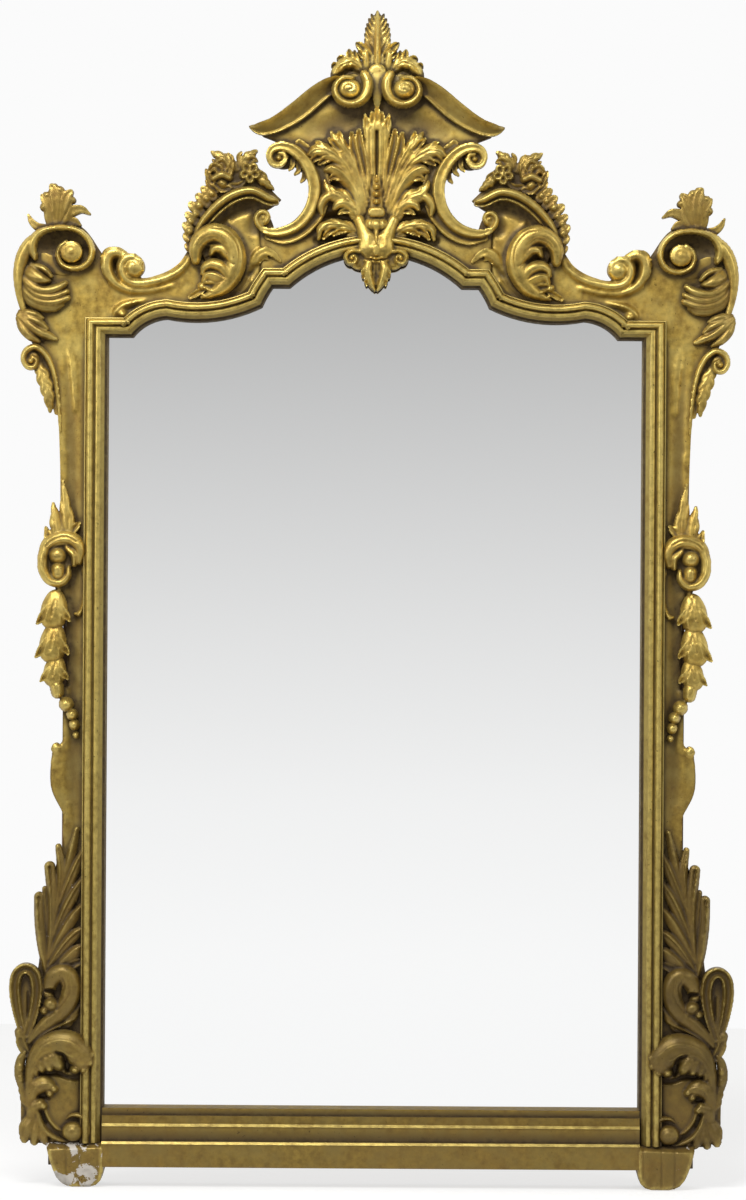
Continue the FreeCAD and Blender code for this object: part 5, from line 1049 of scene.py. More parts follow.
def piece(name, places, faces, node, slot="gilding", crease=50, caps=()):
    corners = np.concatenate([faces.ravel(), *caps])
    sizes = [faces.shape[1]] * len(faces) + [len(cap) for cap in caps]
    mesh = bpy.data.meshes.new(name)
    mesh.vertices.add(len(places))
    mesh.vertices.foreach_set("co", np.ascontiguousarray(places, np.float32).ravel())
    mesh.loops.add(len(corners))
    mesh.loops.foreach_set("vertex_index", corners.astype(np.int32))
    mesh.polygons.add(len(sizes))
    mesh.polygons.foreach_set("loop_start", np.cumsum([0] + sizes[:-1]).astype(np.int32))
    mesh.update(calc_edges=True)
    mesh.validate()
    mesh.polygons.foreach_set("use_smooth", np.ones(len(mesh.polygons), bool))
    mesh.set_sharp_from_angle(angle=math.radians(crease))
    made = bpy.data.objects.new(name, mesh)
    bpy.context.scene.collection.objects.link(made)
    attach(made, "frame")
    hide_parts(node)
    carved_pieces.append(made)
    return made


def pair(name, node, places, faces):
    piece("left_" + name, places, faces, "left_" + node)
    piece("right_" + name, *mirrored_solid(places, faces), "right_" + node)


# Carving that stands on the boards, left side drawn and right side mirrored. The shoulders' carving is
# let in deeper.
SHOULDER_SUNK = 12 * MM
FLOWER_CUTS = FLOWER_SPRAY_CUTS + rose_cuts(ROSE_PLACE, ROSE_REACH, ROSE_PETALS)
SIDE_CARVING = [
    ("volute_of_the_corner", "corner_volute", CORNER_VOLUTE_CUTS, SUNK),
    ("acanthus_of_the_corner", "corner_acanthus", CORNER_ACANTHUS_CUTS, SUNK),
    ("leaf_on_the_corner", "corner_leaf", CORNER_LEAF_CUTS, 14 * MM),
    ("scroll_under_the_corner", "corner_scroll", CORNER_SCROLL_CUTS, SUNK),
    ("scroll_at_mid_height", "mid_scroll", MID_SCROLL_CUTS, SUNK),
    ("garland_of_husks", "husk_garland", GARLAND_CUTS, SUNK),
    ("spray_of_reeds", "reed_spray", REED_CUTS, SUNK),
    ("acanthus_at_the_foot", "bottom_acanthus", BOTTOM_ACANTHUS_CUTS, SUNK),
    ("boss_at_the_foot", "bottom_boss", BOTTOM_BOSS_CUTS, SUNK),
    ("acanthus_on_the_shoulder", "shoulder_acanthus", SHOULDER_ACANTHUS_CUTS, SHOULDER_SUNK),
    ("spray_of_flowers", "flower_spray", FLOWER_CUTS, SHOULDER_SUNK),
    ("arch_on_the_shoulder", "arch_moulding", ARCH_MOULDING_CUTS, SHOULDER_SUNK),
    ("c_scroll_of_the_crest", "c_scroll", C_SCROLL_CUTS, 8 * MM),
    ("hood_of_the_crest", "hood_moulding", HOOD_CUTS, SUNK),
]
for name, node, cuts, sunk in SIDE_CARVING:
    blank = carve(cuts, photo_spot)
    pair(name, node, *blank_solid(blank, BOARD_FRONT, BOARD_FRONT - sunk))

# Carving on the middle line
MIDDLE_CARVING = [
    ("volutes_of_the_crest", "crest_volutes", CREST_VOLUTE_HALF_CUTS, 0.0, SUNK),
    ("finial_leaf", "crest_finial", FINIAL_HALF_CUTS, 12 * MM, 8 * MM),
    ("palmette_of_the_crest", "crest_palmette", PALMETTE_HALF_CUTS, 0.0, SUNK),
    ("beads_and_vase_drop", "crest_bead_drop", BEAD_DROP_HALF_CUTS, 0.0, 0.0),
    ("pendant_of_the_crest", "crest_pendant", PENDANT_HALF_CUTS, 0.0, SUNK),
]
for name, node, half_cuts, behind, sunk in MIDDLE_CARVING:
    both = []
    for cut, other in zip(half_cuts, mirrored_cuts(half_cuts)):
        both.append(cut)
        if cut[0] is groove and max(abs(place[0]) for place in cut[1]) < 0.5:
            continue
        both.append(other)
    blank = carve(both, middle_spot)
    front = BOARD_FRONT - behind
    piece(name, *blank_solid(blank, front, front - sunk), node)

# Boards, with their own shallow carving
SIDE_BOARD_CUTS = [
    (groove, [(46, 244, 10, 5), (58, 245, 17, 9), (74, 248, 17, 9), (82, 250, 10, 5)]),
    (groove, [
        (69, 352, 8, 1), (70, 420, 9, 3), (72, 520, 8, 3), (73, 640, 7, 3), (72, 760, 9, 3),
        (72, 830, 7, 1),
    ]),
    (roll, [(57.6, 752.4, 1.6, 2), (53.4, 749.6, 2.2, 4), (55.6, 745.2, 2.4, 5), (59.2, 747.4, 1.8, 5)]),
    (dome, [(56.2, 748.6, 3.6, 7), (56.5, 748.8, 3.6, 7)]),
    (groove, [(56, 352, 2, 1), (61, 390, 2.4, 2), (62.6, 440, 1.8, 1)]),
    (gouge, [(70, 348, 3, 1), (73.6, 372, 3.6, 3), (75, 410, 2, 1)]),
    (groove, [(52, 1088, 6, 4), (66, 1097, 9, 7), (80, 1092, 6, 4)]),
    (pad, [
        (60, 366, 3, 0), (61.4, 400, 3.4, 0), (62.4, 430, 3.4, 0), (63.4, 470, 3.2, 0), (63.4, 500, 3, 0),
    ]),
    (pad, [(66.4, 690, 3.2, 0), (66.4, 745, 3.2, 0)]),
    (pad, [(67, 806, 4, 0), (68, 830, 5, 0), (68, 862, 5, 0)]),
]
BOARD_ROUND = 4 * MM
SHOULDER_MARGIN = 16 * MM
SHOULDER_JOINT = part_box("left_side_board")[1].x
CREST_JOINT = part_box("left_shoulder_board")[1].x
blank = board_blank(front_outline("left_side_board"), BOARD_PITCH, BOARD_ROUND, (SHOULDER_JOINT,))
for section, rows in SIDE_BOARD_CUTS:
    blank.cut(smooth_line(rows, photo_spot), section)
blank.rub_down(2)
pair("carved_side", "side_board", *blank_solid(blank, BOARD_FRONT, BOARD_BACK))

shoulder_joints = (SHOULDER_JOINT, CREST_JOINT)
shoulder_outline = front_outline("left_shoulder_board")
blank = board_blank(shoulder_outline, BOARD_PITCH, BOARD_ROUND, shoulder_joints, SHOULDER_MARGIN)
for section, rows in SHOULDER_BOARD_CUTS:
    blank.cut(smooth_line(rows, photo_spot), section)
blank.rub_down(2)
pair("carved_shoulder", "shoulder_board", *blank_solid(blank, BOARD_FRONT, BOARD_BACK + LAPPED_BACK))

blank = board_blank(front_outline("crest_board"), BOARD_PITCH, BOARD_ROUND, (CREST_JOINT, -CREST_JOINT))
for section, rows in CREST_BOARD_HALF_CUTS + mirrored_cuts(CREST_BOARD_HALF_CUTS):
    blank.cut(smooth_line(rows, middle_spot), section)
blank.rub_down(2)
piece("carved_crest", *blank_solid(blank, BOARD_FRONT, BOARD_BACK + 2 * LAPPED_BACK), "crest_board")

# Feet: short bracket blocks, drawn in on the outer side and worn round at the bottom
FOOT_OUTLINE = [
    (46.6, 1139), (48.4, 1151), (50.8, 1160), (53.6, 1168), (57, 1175.6), (61.6, 1181), (67, 1184),
    (73, 1185), (90, 1185), (96.4, 1183.4), (101, 1179), (103.4, 1171), (104.2, 1160), (104.6, 1139),
]
FOOT_CUTS = [
    (groove, [(40, 1139, 9, 13), (76, 1138, 9, 13), (112, 1137, 9, 13)]),
    (groove, [(66.6, 1140, 1.2, 2), (67, 1186, 1.4, 3)]),
    (groove, [(80.4, 1140, 1.2, 2), (80, 1186, 1.4, 3)]),
    (groove, [(98.6, 1140, 1.2, 2), (98, 1186, 1.4, 3)]),
    (groove, [(60, 1176, 5, 3), (68, 1186, 6, 4)]),
    (groove, [(88, 1172, 5, 2), (94, 1182, 5, 4)]),
]
foot_low, foot_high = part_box("left_foot")
foot_corners = np.array([photo_spot(column, row) for column, row in FOOT_OUTLINE])
foot_corners[:, 1] = np.clip(foot_corners[:, 1], foot_low.z, foot_high.z)
foot_runs = np.stack([foot_corners, np.roll(foot_corners, -1, 0)], 1)
blank = board_blank(foot_runs, CARVING_PITCH, 5 * MM)
for section, rows in FOOT_CUTS:
    blank.cut(smooth_line(rows, photo_spot), section)
blank.rub_down(2)
pair("bracket_foot", "foot", *blank_solid(blank, -foot_low.y, LAPPED_BACK - foot_high.y))

# Mouldings: a section run along a line, mitred at its corners. Each point is a share of the width outwards
# from the sight edge and a share of the height above the boards.
MOULDING_SECTION = [
    (0, 0), (0, 0.16), (0.085, 0.18), (0.095, 0.34), (0.13, 0.40), (0.20, 0.48), (0.26, 0.58),
    (0.29, 0.66), (0.305, 0.72), (0.34, 0.76), (0.40, 0.77), (0.46, 0.76), (0.49, 0.72), (0.50, 0.62),
    (0.54, 0.56), (0.58, 0.58), (0.60, 0.78), (0.64, 0.91), (0.69, 0.98), (0.74, 1), (0.79, 0.98),
    (0.84, 0.91), (0.88, 0.78), (0.895, 0.58), (0.91, 0.55), (0.925, 0.60), (0.94, 0.63),
    (0.985, 0.61), (1, 0.45), (1, 0),
]
MOULDING_WIDTH = 35 * MM
MOULDING_HEIGHT = 22 * MM
MOULDING_CREASE = 35
RUN_STEP = 3.0 * MM


def run_points(corners):
    points = []
    for a, b in zip(corners[:-1], corners[1:]):
        count = max(1, math.ceil(math.dist(a, b) / RUN_STEP))
        for step in range(count):
            points.append(a + (b - a) * step / count)
    points.append(corners[-1])
    return np.array(points)


# A section swept along a run and capped at both ends
def swept_solid(points, outward, section, width, height, front):
    places = []
    for (x, z), (ox, oz) in zip(points, outward):
        for across, up in section:
            places.append((x + ox * across * width, -(front + up * height), z + oz * across * width))
    around = len(section)
    count = len(points)
    start = np.arange(count - 1)[:, None] * around
    here = np.arange(around)[None, :]
    following = (here + 1) % around
    sides = [start + here, start + following, start + around + following, start + around + here]
    faces = np.stack(sides, -1).reshape(-1, 4)
    caps = (np.arange(around)[::-1], np.arange(around) + (count - 1) * around)
    return np.array(places), faces, caps


# Corners of the sight edge along the arched top, read from the back of its moulding
def top_sight_line():
    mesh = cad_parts["top_sight_moulding"].data
    mesh.calc_loop_triangles()
    places = np.array([v.co for v in mesh.vertices])
    keys = [tuple(key) for key in np.round(places[:, [0, 2]] * 1e5).astype(int)]
    runs = set()
    for triangle in mesh.loop_triangles:
        corners = list(triangle.vertices)
        if triangle.normal.y < 0.9 or any(places[c][1] < -BOARD_FRONT - MM for c in corners):
            continue
        for a, b in zip(corners, corners[1:] + corners[:1]):
            runs ^= {frozenset((keys[a], keys[b]))}
    beside = {}
    for run in runs:
        a, b = tuple(run)
        beside.setdefault(a, []).append(b)
        beside.setdefault(b, []).append(a)
    start = min(beside, key=lambda key: abs(key[0] * 1e-5 - SIGHT_LEFT) + abs(key[1] * 1e-5 - SIGHT_CORNER))
    end = min(beside, key=lambda key: abs(key[0] * 1e-5 + SIGHT_LEFT) + abs(key[1] * 1e-5 - SIGHT_CORNER))
    ways = []
    for following in beside[start]:
        way = [start, following]
        while way[-1] != end:
            onward = [key for key in beside[way[-1]] if key != way[-2]]
            way.append(onward[0])
        ways.append(np.array(way) * 1e-5)
    return min(ways, key=lambda way: way[:, 1].mean())


# Outward direction at each point of a run, lengthened at a mitre
def mitre_directions(points):
    steps = np.diff(points, axis=0)
    steps = steps / np.maximum(np.hypot(steps[:, 0], steps[:, 1]), 1e-9)[:, None]
    normals = np.stack([-steps[:, 1], steps[:, 0]], 1)
    before = np.vstack([normals[:1], normals])
    after = np.vstack([normals, normals[-1:]])
    return (before + after) / (1 + (before * after).sum(1))[:, None]


# The arched run is a little narrower than the upright ones
TOP_RUN_SHARE = 0.82
SIGHT_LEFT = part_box("left_sight_moulding")[1].x
SIGHT_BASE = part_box("left_sight_moulding")[0].z
SIGHT_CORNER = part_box("top_sight_moulding")[0].z
left_run = run_points(np.array([(SIGHT_LEFT, SIGHT_BASE), (SIGHT_LEFT, SIGHT_CORNER)]))
top_run = run_points(top_sight_line())
right_run = left_run[::-1] * (-1, 1)
whole_run = np.vstack([left_run, top_run[1:-1], right_run])
whole_out = mitre_directions(whole_run)
left_end = len(left_run)
right_start = left_end + len(top_run) - 3
whole_out[left_end:right_start + 1] *= TOP_RUN_SHARE
whole_out[[left_end - 1, right_start + 1], 1] *= TOP_RUN_SHARE
parts_of_run = [
    ("left_moulding_run", "left_sight_moulding", slice(0, left_end)),
    ("top_moulding_run", "top_sight_moulding", slice(left_end - 1, right_start + 2)),
    ("right_moulding_run", "right_sight_moulding", slice(right_start + 1, len(whole_run))),
]
for name, node, part in parts_of_run:
    places, faces, caps = swept_solid(
        whole_run[part], whole_out[part], MOULDING_SECTION, MOULDING_WIDTH, MOULDING_HEIGHT, BOARD_FRONT
    )
    piece(name, places, faces, node, crease=MOULDING_CREASE, caps=caps)

# The fascia along the base: a share of its height, and a share of how far it stands off the plinth
FASCIA_SECTION = [
    (0, 0), (0, 0.90), (0.015, 0.94), (0.39, 0.94), (0.395, 0.99), (0.40, 1), (0.441, 0.88),
    (0.444, 0.80), (0.447, 0.66), (0.69, 0.66), (0.695, 0.73), (0.70, 0.74), (0.743, 0.60),
    (0.746, 0.54), (0.81, 0.50), (0.872, 0.45), (0.88, 0.3), (0.886, 0.2), (1, 0.2), (1, 0),
]
# Points of the fascia's section: the fillet tops get a painted highlight, and the hollows get dirt and
# painted shade
FASCIA_PAINTED_HIGHLIGHTS = (5, 6, 11, 12)
FASCIA_HOLLOWS = (8, 16, 17)
FASCIA_TENON = 0.8 * MM
fascia_low, fascia_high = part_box("plinth_fascia")
fascia_ends = (fascia_low.x - FASCIA_TENON, fascia_high.x + FASCIA_TENON)
fascia_run = run_points(np.array([(end, fascia_low.z) for end in fascia_ends]))
fascia_out = np.tile((0.0, 1.0), (len(fascia_run), 1))
fascia_height = fascia_high.z - fascia_low.z
fascia_depth = -fascia_low.y - BOARD_FRONT
places, faces, caps = swept_solid(
    fascia_run, fascia_out, FASCIA_SECTION, fascia_height, fascia_depth, BOARD_FRONT
)
piece("fascia_run", places, faces, "plinth_fascia", crease=MOULDING_CREASE, caps=caps)


# Relief map of the whole front: where dirt gathers in the hollows and painted shade darkens them, and where
# hands have rubbed the crests and a painted highlight lightens them
def box_blur(values, reach):
    for axis in (0, 1):
        padded = np.pad(values, [(reach + 1, reach) if a == axis else (0, 0) for a in (0, 1)], mode="edge")
        sums = np.cumsum(padded, axis=axis)
        if axis == 0:
            values = (sums[2 * reach + 1:] - sums[:-2 * reach - 1]) / (2 * reach + 1)
        else:
            values = (sums[:, 2 * reach + 1:] - sums[:, :-2 * reach - 1]) / (2 * reach + 1)
    return values


BOARD_PIECES = (
    "left_carved_side", "right_carved_side", "left_carved_shoulder", "right_carved_shoulder",
    "carved_crest",
)
# Painted shade across the moulding's section: full at the sight edge as the shadow of the rabbet, lighter
# just beside it, and strong in the low parts of the section on each side of the big bead
SIGHT_EDGE = 4
MOULDING_PAINTED_SHADE = np.zeros(len(MOULDING_SECTION))
MOULDING_PAINTED_SHADE[:SIGHT_EDGE] = 1
MOULDING_PAINTED_SHADE[SIGHT_EDGE:SIGHT_EDGE + 3] = 0.4
for point, (across, up) in enumerate(MOULDING_SECTION):
    if up < 0.63 and across > 0.49:
        MOULDING_PAINTED_SHADE[point] = 0.7
map_columns = int((cad_high.x - cad_low.x) / MAP_PITCH) + 20
map_rows = int((cad_high.z - cad_low.z) / MAP_PITCH) + 20
relief = np.full((map_rows, map_columns), BOARD_FRONT)
surfaces = []
for made in carved_pieces:
    places = np.zeros(len(made.data.vertices) * 3, np.float32)
    made.data.vertices.foreach_get("co", places)
    places = places.reshape(-1, 3)
    column = np.clip((places[:, 0] - cad_low.x) / MAP_PITCH + 10, 0, map_columns - 2)
    row = np.clip((places[:, 2] - cad_low.z) / MAP_PITCH + 10, 0, map_rows - 2)
    np.maximum.at(relief, (np.rint(row).astype(int), np.rint(column).astype(int)), -places[:, 1])
    surfaces.append((made, places, row, column))


# Level of a map at places between its points
def level_at(level, row, column):
    low_row = row.astype(int)
    low_column = column.astype(int)
    up = row - low_row
    along = column - low_column
    below = level[low_row, low_column] * (1 - along) + level[low_row, low_column + 1] * along
    above = level[low_row + 1, low_column] * (1 - along) + level[low_row + 1, low_column + 1] * along
    return below * (1 - up) + above * up


near_level = box_blur(box_blur(relief, 2), 2)
broad_level = box_blur(box_blur(relief, 7), 5)
for made, places, row, column in surfaces:
    depth = -places[:, 1]
    sunk_near = level_at(near_level, row, column) - depth
    sunk_broad = level_at(broad_level, row, column) - depth
    # Hollow carries dirt and painted shade into recesses; crest carries rubbing and a painted highlight
    # onto what stands proud
    hollow = np.clip(sunk_near / (3.4 * MM), 0, 1) * 0.95 + np.clip(sunk_broad / (9 * MM), 0, 1) * 0.75
    crest = np.clip(-sunk_near / (3.5 * MM), 0, 1) * 0.7 + np.clip(-sunk_broad / (16 * MM), 0, 1) * 0.4
    if made.name in BOARD_PIECES:
        hollow *= 0.8 if made.name == "carved_crest" else 0.55
    if made.name.endswith("moulding_run"):
        hollow = np.maximum(hollow, np.resize(MOULDING_PAINTED_SHADE, len(hollow)))
    if made.name == "fascia_run":
        # Painted highlight along the fillet tops, dirt and painted shade in the hollows
        point = np.arange(len(hollow)) % len(FASCIA_SECTION)
        crest = np.isin(point, FASCIA_PAINTED_HIGHLIGHTS).astype(float)
        hollow[np.isin(point, FASCIA_PAINTED_HIGHLIGHTS)] = 0
        hollow[np.isin(point, FASCIA_HOLLOWS)] = 1
    for title, values in (("hollow", hollow), ("crest", crest)):
        attribute = made.data.attributes.new(title, "FLOAT", "POINT")
        attribute.data.foreach_set("value", np.clip(values, 0, 1).astype(np.float32))


# Materials
def node_group(title, inputs, outputs):
    group = bpy.data.node_groups.new(title, "ShaderNodeTree")
    for kind, name, value in inputs:
        socket = group.interface.new_socket(name=name, in_out="INPUT", socket_type=kind)
        socket.default_value = value
    for kind, name in outputs:
        group.interface.new_socket(name=name, in_out="OUTPUT", socket_type=kind)
    return group, group.nodes.new("NodeGroupInput"), group.nodes.new("NodeGroupOutput")


class Bench:
    """A short way to add and link nodes in one tree."""

    def __init__(self, tree):
        self.tree = tree

    def add(self, kind, **settings):
        node = self.tree.nodes.new(kind)
        for name, value in settings.items():
            setattr(node, name, value)
        return node

    def link(self, source, target):
        self.tree.links.new(source, target)

    def feed(self, socket, value):
        if isinstance(value, bpy.types.NodeSocket):
            self.link(value, socket)
        else:
            socket.default_value = value

    def math(self, operation, a, b=0.0, clamp=False):
        node = self.add("ShaderNodeMath", operation=operation, use_clamp=clamp)
        self.feed(node.inputs[0], a)
        self.feed(node.inputs[1], b)
        return node.outputs[0]

    def spread(self, value, low, high, to_low=0.0, to_high=1.0):
        node = self.add("ShaderNodeMapRange", clamp=True)
        self.feed(node.inputs["Value"], value)
        self.feed(node.inputs["From Min"], low)
        self.feed(node.inputs["From Max"], high)
        self.feed(node.inputs["To Min"], to_low)
        self.feed(node.inputs["To Max"], to_high)
        return node.outputs["Result"]

    def tint(self, share, a, b, blend="MIX"):
        node = self.add("ShaderNodeMix", data_type="RGBA", blend_type=blend)
        self.feed(node.inputs[0], share)
        self.feed(node.inputs[6], a)
        self.feed(node.inputs[7], b)
        return node.outputs[2]

    def noise(self, place, scale, detail=3.0, roughness=0.55, distortion=0.0):
        node = self.add("ShaderNodeTexNoise")
        self.link(place, node.inputs["Vector"])
        self.feed(node.inputs["Scale"], scale)
        self.feed(node.inputs["Detail"], detail)
        self.feed(node.inputs["Roughness"], roughness)
        self.feed(node.inputs["Distortion"], distortion)
        return node.outputs["Fac"]

    def stretched(self, place, scale):
        node = self.add("ShaderNodeMapping")
        self.link(place, node.inputs["Vector"])
        self.feed(node.inputs["Scale"], scale)
        return node.outputs["Vector"]


def shade(red, green, blue):
    return red, green, blue, 1.0


LEAF_GOLD = shade(0.58, 0.397, 0.080)
PALE_GOLD = shade(0.80, 0.620, 0.178)
DEEP_GOLD = shade(0.29, 0.185, 0.040)
BOLE_ORANGE = shade(0.47, 0.235, 0.058)
GESSO = shade(0.66, 0.61, 0.54)
# Umber is for dark flecks and for dirt and painted shade in the hollows; the grime brown is for grime and
# painted shade
UMBER_DIRT_AND_SHADE = shade(0.040, 0.022, 0.006)
GRIME_AND_SHADE_BROWN = shade(0.108, 0.066, 0.013)


# Old gilding: leaf over bole, rubbed on the crests with a painted highlight there, dirty in the hollows
# with painted shade there, and with painted shade that deepens towards the bottom
def make_gilding_group():
    group, entry, out = node_group(
        "gilding_over_bole",
        [
            ("NodeSocketVector", "Place", (0, 0, 0)),
            ("NodeSocketFloat", "Hollow", 0.0),
            ("NodeSocketFloat", "Crest", 0.0),
            ("NodeSocketFloat", "Wear", 0.5),
            ("NodeSocketFloat", "Warmth", 0.3),
            ("NodeSocketFloat", "Grime and Shade", 0.0),
            ("NodeSocketFloat", "Chips", 0.0),
            ("NodeSocketFloat", "Painted Highlight", 0.0),
        ],
        [
            ("NodeSocketColor", "Colour"),
            ("NodeSocketFloat", "Roughness"),
            ("NodeSocketFloat", "Metal"),
            ("NodeSocketFloat", "Height"),
        ],
    )
    bench = Bench(group)
    place = entry.outputs["Place"]
    broad = bench.noise(place, 7.0, 2.0)
    patch = bench.noise(place, 26.0, 4.0, 0.6)
    mottle = bench.noise(place, 95.0, 5.0, 0.62)
    grain = bench.noise(place, 520.0, 3.0, 0.6)
    leaf = bench.tint(bench.spread(mottle, 0.32, 0.66), DEEP_GOLD, LEAF_GOLD)
    leaf = bench.tint(bench.spread(patch, 0.45, 0.72, 0.0, 0.65), leaf, PALE_GOLD)
    warm = bench.math("MULTIPLY", bench.spread(broad, 0.40, 0.68), entry.outputs["Warmth"])
    leaf = bench.tint(warm, leaf, BOLE_ORANGE)
    # Rubbing and a painted highlight: the proud crests lightened to pale gold
    rubbed_and_highlit = bench.math("MULTIPLY", entry.outputs["Crest"], bench.spread(mottle, 0.30, 0.62, 0.35, 1.0))
    # Painted highlight: pale gold laid in patches where a finish asks for it
    highlight_patches = bench.math("MULTIPLY", entry.outputs["Painted Highlight"], bench.spread(patch, 0.30, 0.62))
    rubbed_and_highlit = bench.math("MAXIMUM", rubbed_and_highlit, highlight_patches)
    leaf = bench.tint(rubbed_and_highlit, leaf, PALE_GOLD)
    edge_break = bench.spread(bench.noise(place, 60.0, 6.0, 0.7), 0.60, 0.70)
    worn_edge = bench.math("MULTIPLY", entry.outputs["Wear"], edge_break)
    leaf = bench.tint(worn_edge, leaf, BOLE_ORANGE)
    upright = bench.add("ShaderNodeSeparateXYZ")
    bench.link(place, upright.inputs["Vector"])
    # Painted shade: darker towards the bottom, added on top of the grime each finish asks for
    painted_low_shade = bench.spread(upright.outputs["Z"], 0.20, 0.85, 0.75, 0.0)
    grime_and_shade = bench.math("MAXIMUM", entry.outputs["Grime and Shade"], painted_low_shade)
    grime_and_shade = bench.math("MULTIPLY", grime_and_shade, bench.spread(patch, 0.30, 0.70, 0.72, 1.0))
    grime_and_shade = bench.math("MULTIPLY", grime_and_shade, bench.spread(rubbed_and_highlit, 0.2, 1.0, 1.0, 0.5))
    leaf = bench.tint(grime_and_shade, leaf, GRIME_AND_SHADE_BROWN)
    # Dirt and painted shade: the hollows darkened to umber and made less metallic
    dirt_and_shade_break = bench.spread(mottle, 0.25, 0.75, 0.7, 1.15)
    dirt_and_shade = bench.math("MULTIPLY", entry.outputs["Hollow"], dirt_and_shade_break, clamp=True)
    leaf = bench.tint(bench.spread(dirt_and_shade, 0.10, 0.95, 0.0, 0.94), leaf, UMBER_DIRT_AND_SHADE)
    fleck = bench.spread(bench.noise(place, 240.0, 2.0, 0.5), 0.70, 0.76, 0.0, 0.75)
    leaf = bench.tint(fleck, leaf, UMBER_DIRT_AND_SHADE)
    chip_edge = bench.spread(entry.outputs["Chips"], 0.0, 1.0, 0.78, 0.48)
    chip_noise = bench.noise(place, 34.0, 5.0, 0.66, 0.4)
    chipped = bench.spread(bench.math("SUBTRACT", chip_noise, chip_edge), 0.0, 0.02)
    leaf = bench.tint(chipped, leaf, GESSO)
    bench.link(leaf, out.inputs["Colour"])
    leaf_rough = bench.spread(mottle, 0.3, 0.7, 0.34, 0.50)
    rough = bench.math("ADD", leaf_rough, bench.math("MULTIPLY", dirt_and_shade, 0.28))
    rough = bench.math("SUBTRACT", rough, bench.math("MULTIPLY", rubbed_and_highlit, 0.07))
    bench.link(rough, out.inputs["Roughness"])
    metal_share = bench.spread(dirt_and_shade, 0.15, 0.9, 0.78, 0.10)
    clean_share = bench.math("SUBTRACT", 1.0, bench.math("MULTIPLY", grime_and_shade, 0.45))
    metal_share = bench.math("MULTIPLY", metal_share, clean_share)
    whole_leaf = bench.math("SUBTRACT", 1.0, chipped)
    bench.link(bench.math("MULTIPLY", metal_share, whole_leaf), out.inputs["Metal"])
    tool_marks = bench.math("MULTIPLY", mottle, 0.7)
    fine = bench.math("MULTIPLY", grain, 0.22)
    bench.link(bench.math("ADD", tool_marks, fine), out.inputs["Height"])
    return group


gilding_group = make_gilding_group()


def new_material(title):
    material = bpy.data.materials.new(title)
    material.use_nodes = True
    bench = Bench(material.node_tree)
    shader = material.node_tree.nodes["Principled BSDF"]
    place = bench.add("ShaderNodeTexCoord").outputs["Object"]
    return material, bench, shader, place


def gilded(title, wear, warmth, grime_and_shade=0.0, chips=0.0, painted_highlight=0.0):
    material, bench, shader, place = new_material(title)
    gilding = bench.add("ShaderNodeGroup", node_tree=gilding_group)
    bench.link(place, gilding.inputs["Place"])
    gilding.inputs["Wear"].default_value = wear
    gilding.inputs["Warmth"].default_value = warmth
    gilding.inputs["Grime and Shade"].default_value = grime_and_shade
    gilding.inputs["Chips"].default_value = chips
    gilding.inputs["Painted Highlight"].default_value = painted_highlight
    for relief_name, socket in (("hollow", "Hollow"), ("crest", "Crest")):
        relief_share = bench.add("ShaderNodeAttribute", attribute_name=relief_name)
        bench.link(relief_share.outputs["Fac"], gilding.inputs[socket])
    bench.link(gilding.outputs["Colour"], shader.inputs["Base Color"])
    bench.link(gilding.outputs["Roughness"], shader.inputs["Roughness"])
    bench.link(gilding.outputs["Metal"], shader.inputs["Metallic"])
    bump = bench.add("ShaderNodeBump")
    bump.inputs["Strength"].default_value = 0.5
    bump.inputs["Distance"].default_value = 0.9 * MM
    bench.link(gilding.outputs["Height"], bump.inputs["Height"])
    bench.link(bump.outputs["Normal"], shader.inputs["Normal"])
    return material, bench, shader, place


# The grime share is dirt and painted shade; the right reeds and the right foot carving get more painted
# shade than the left ones
carving_gilding = gilded("gilding_on_carving", 0.35, 0.18)[0]
moulding_gilding = gilded("gilding_on_mouldings", 0.2, 0.1, 0.27)[0]
board_gilding = gilded("gilding_on_boards", 0.25, 0.15)[0]
crest_gilding = gilded("gilding_on_crest_leaves", 0.6, 0.4)[0]
# The gilding of the finial and the crest volutes carries a painted highlight
finial_gilding = gilded("gilding_on_finial", 0.7, 0.4, painted_highlight=1.0)[0]
flower_gilding = gilded("gilding_on_flowers", 0.6, 0.4, 0.45)[0]
corner_gilding = gilded("gilding_on_corner_leaves", 0.4, 0.3, 0.5)[0]
reed_gilding = gilded("gilding_on_reeds", 0.5, 0.3, 0.85, 0.36)[0]
shaded_reed_gilding = gilded("darker_gilding_on_right_reeds", 0.5, 0.3, 1.0, 0.2)[0]
foot_carving_gilding = gilded("gilding_on_foot_carving", 0.5, 0.3, 0.78, 0.26)[0]
shaded_foot_carving_gilding = gilded("darker_gilding_on_right_foot_carving", 0.5, 0.3, 1.0, 0.2)[0]
fascia_gilding = gilded("gilding_on_fascia", 0.3, 0.2, 0.62)[0]
foot_gilding = gilded("worn_gilding_on_left_foot", 1.0, 0.3, 0.8, 0.88)[0]
other_foot_gilding = gilded("worn_gilding_on_right_foot", 1.0, 0.3, 0.85, 0.45)[0]


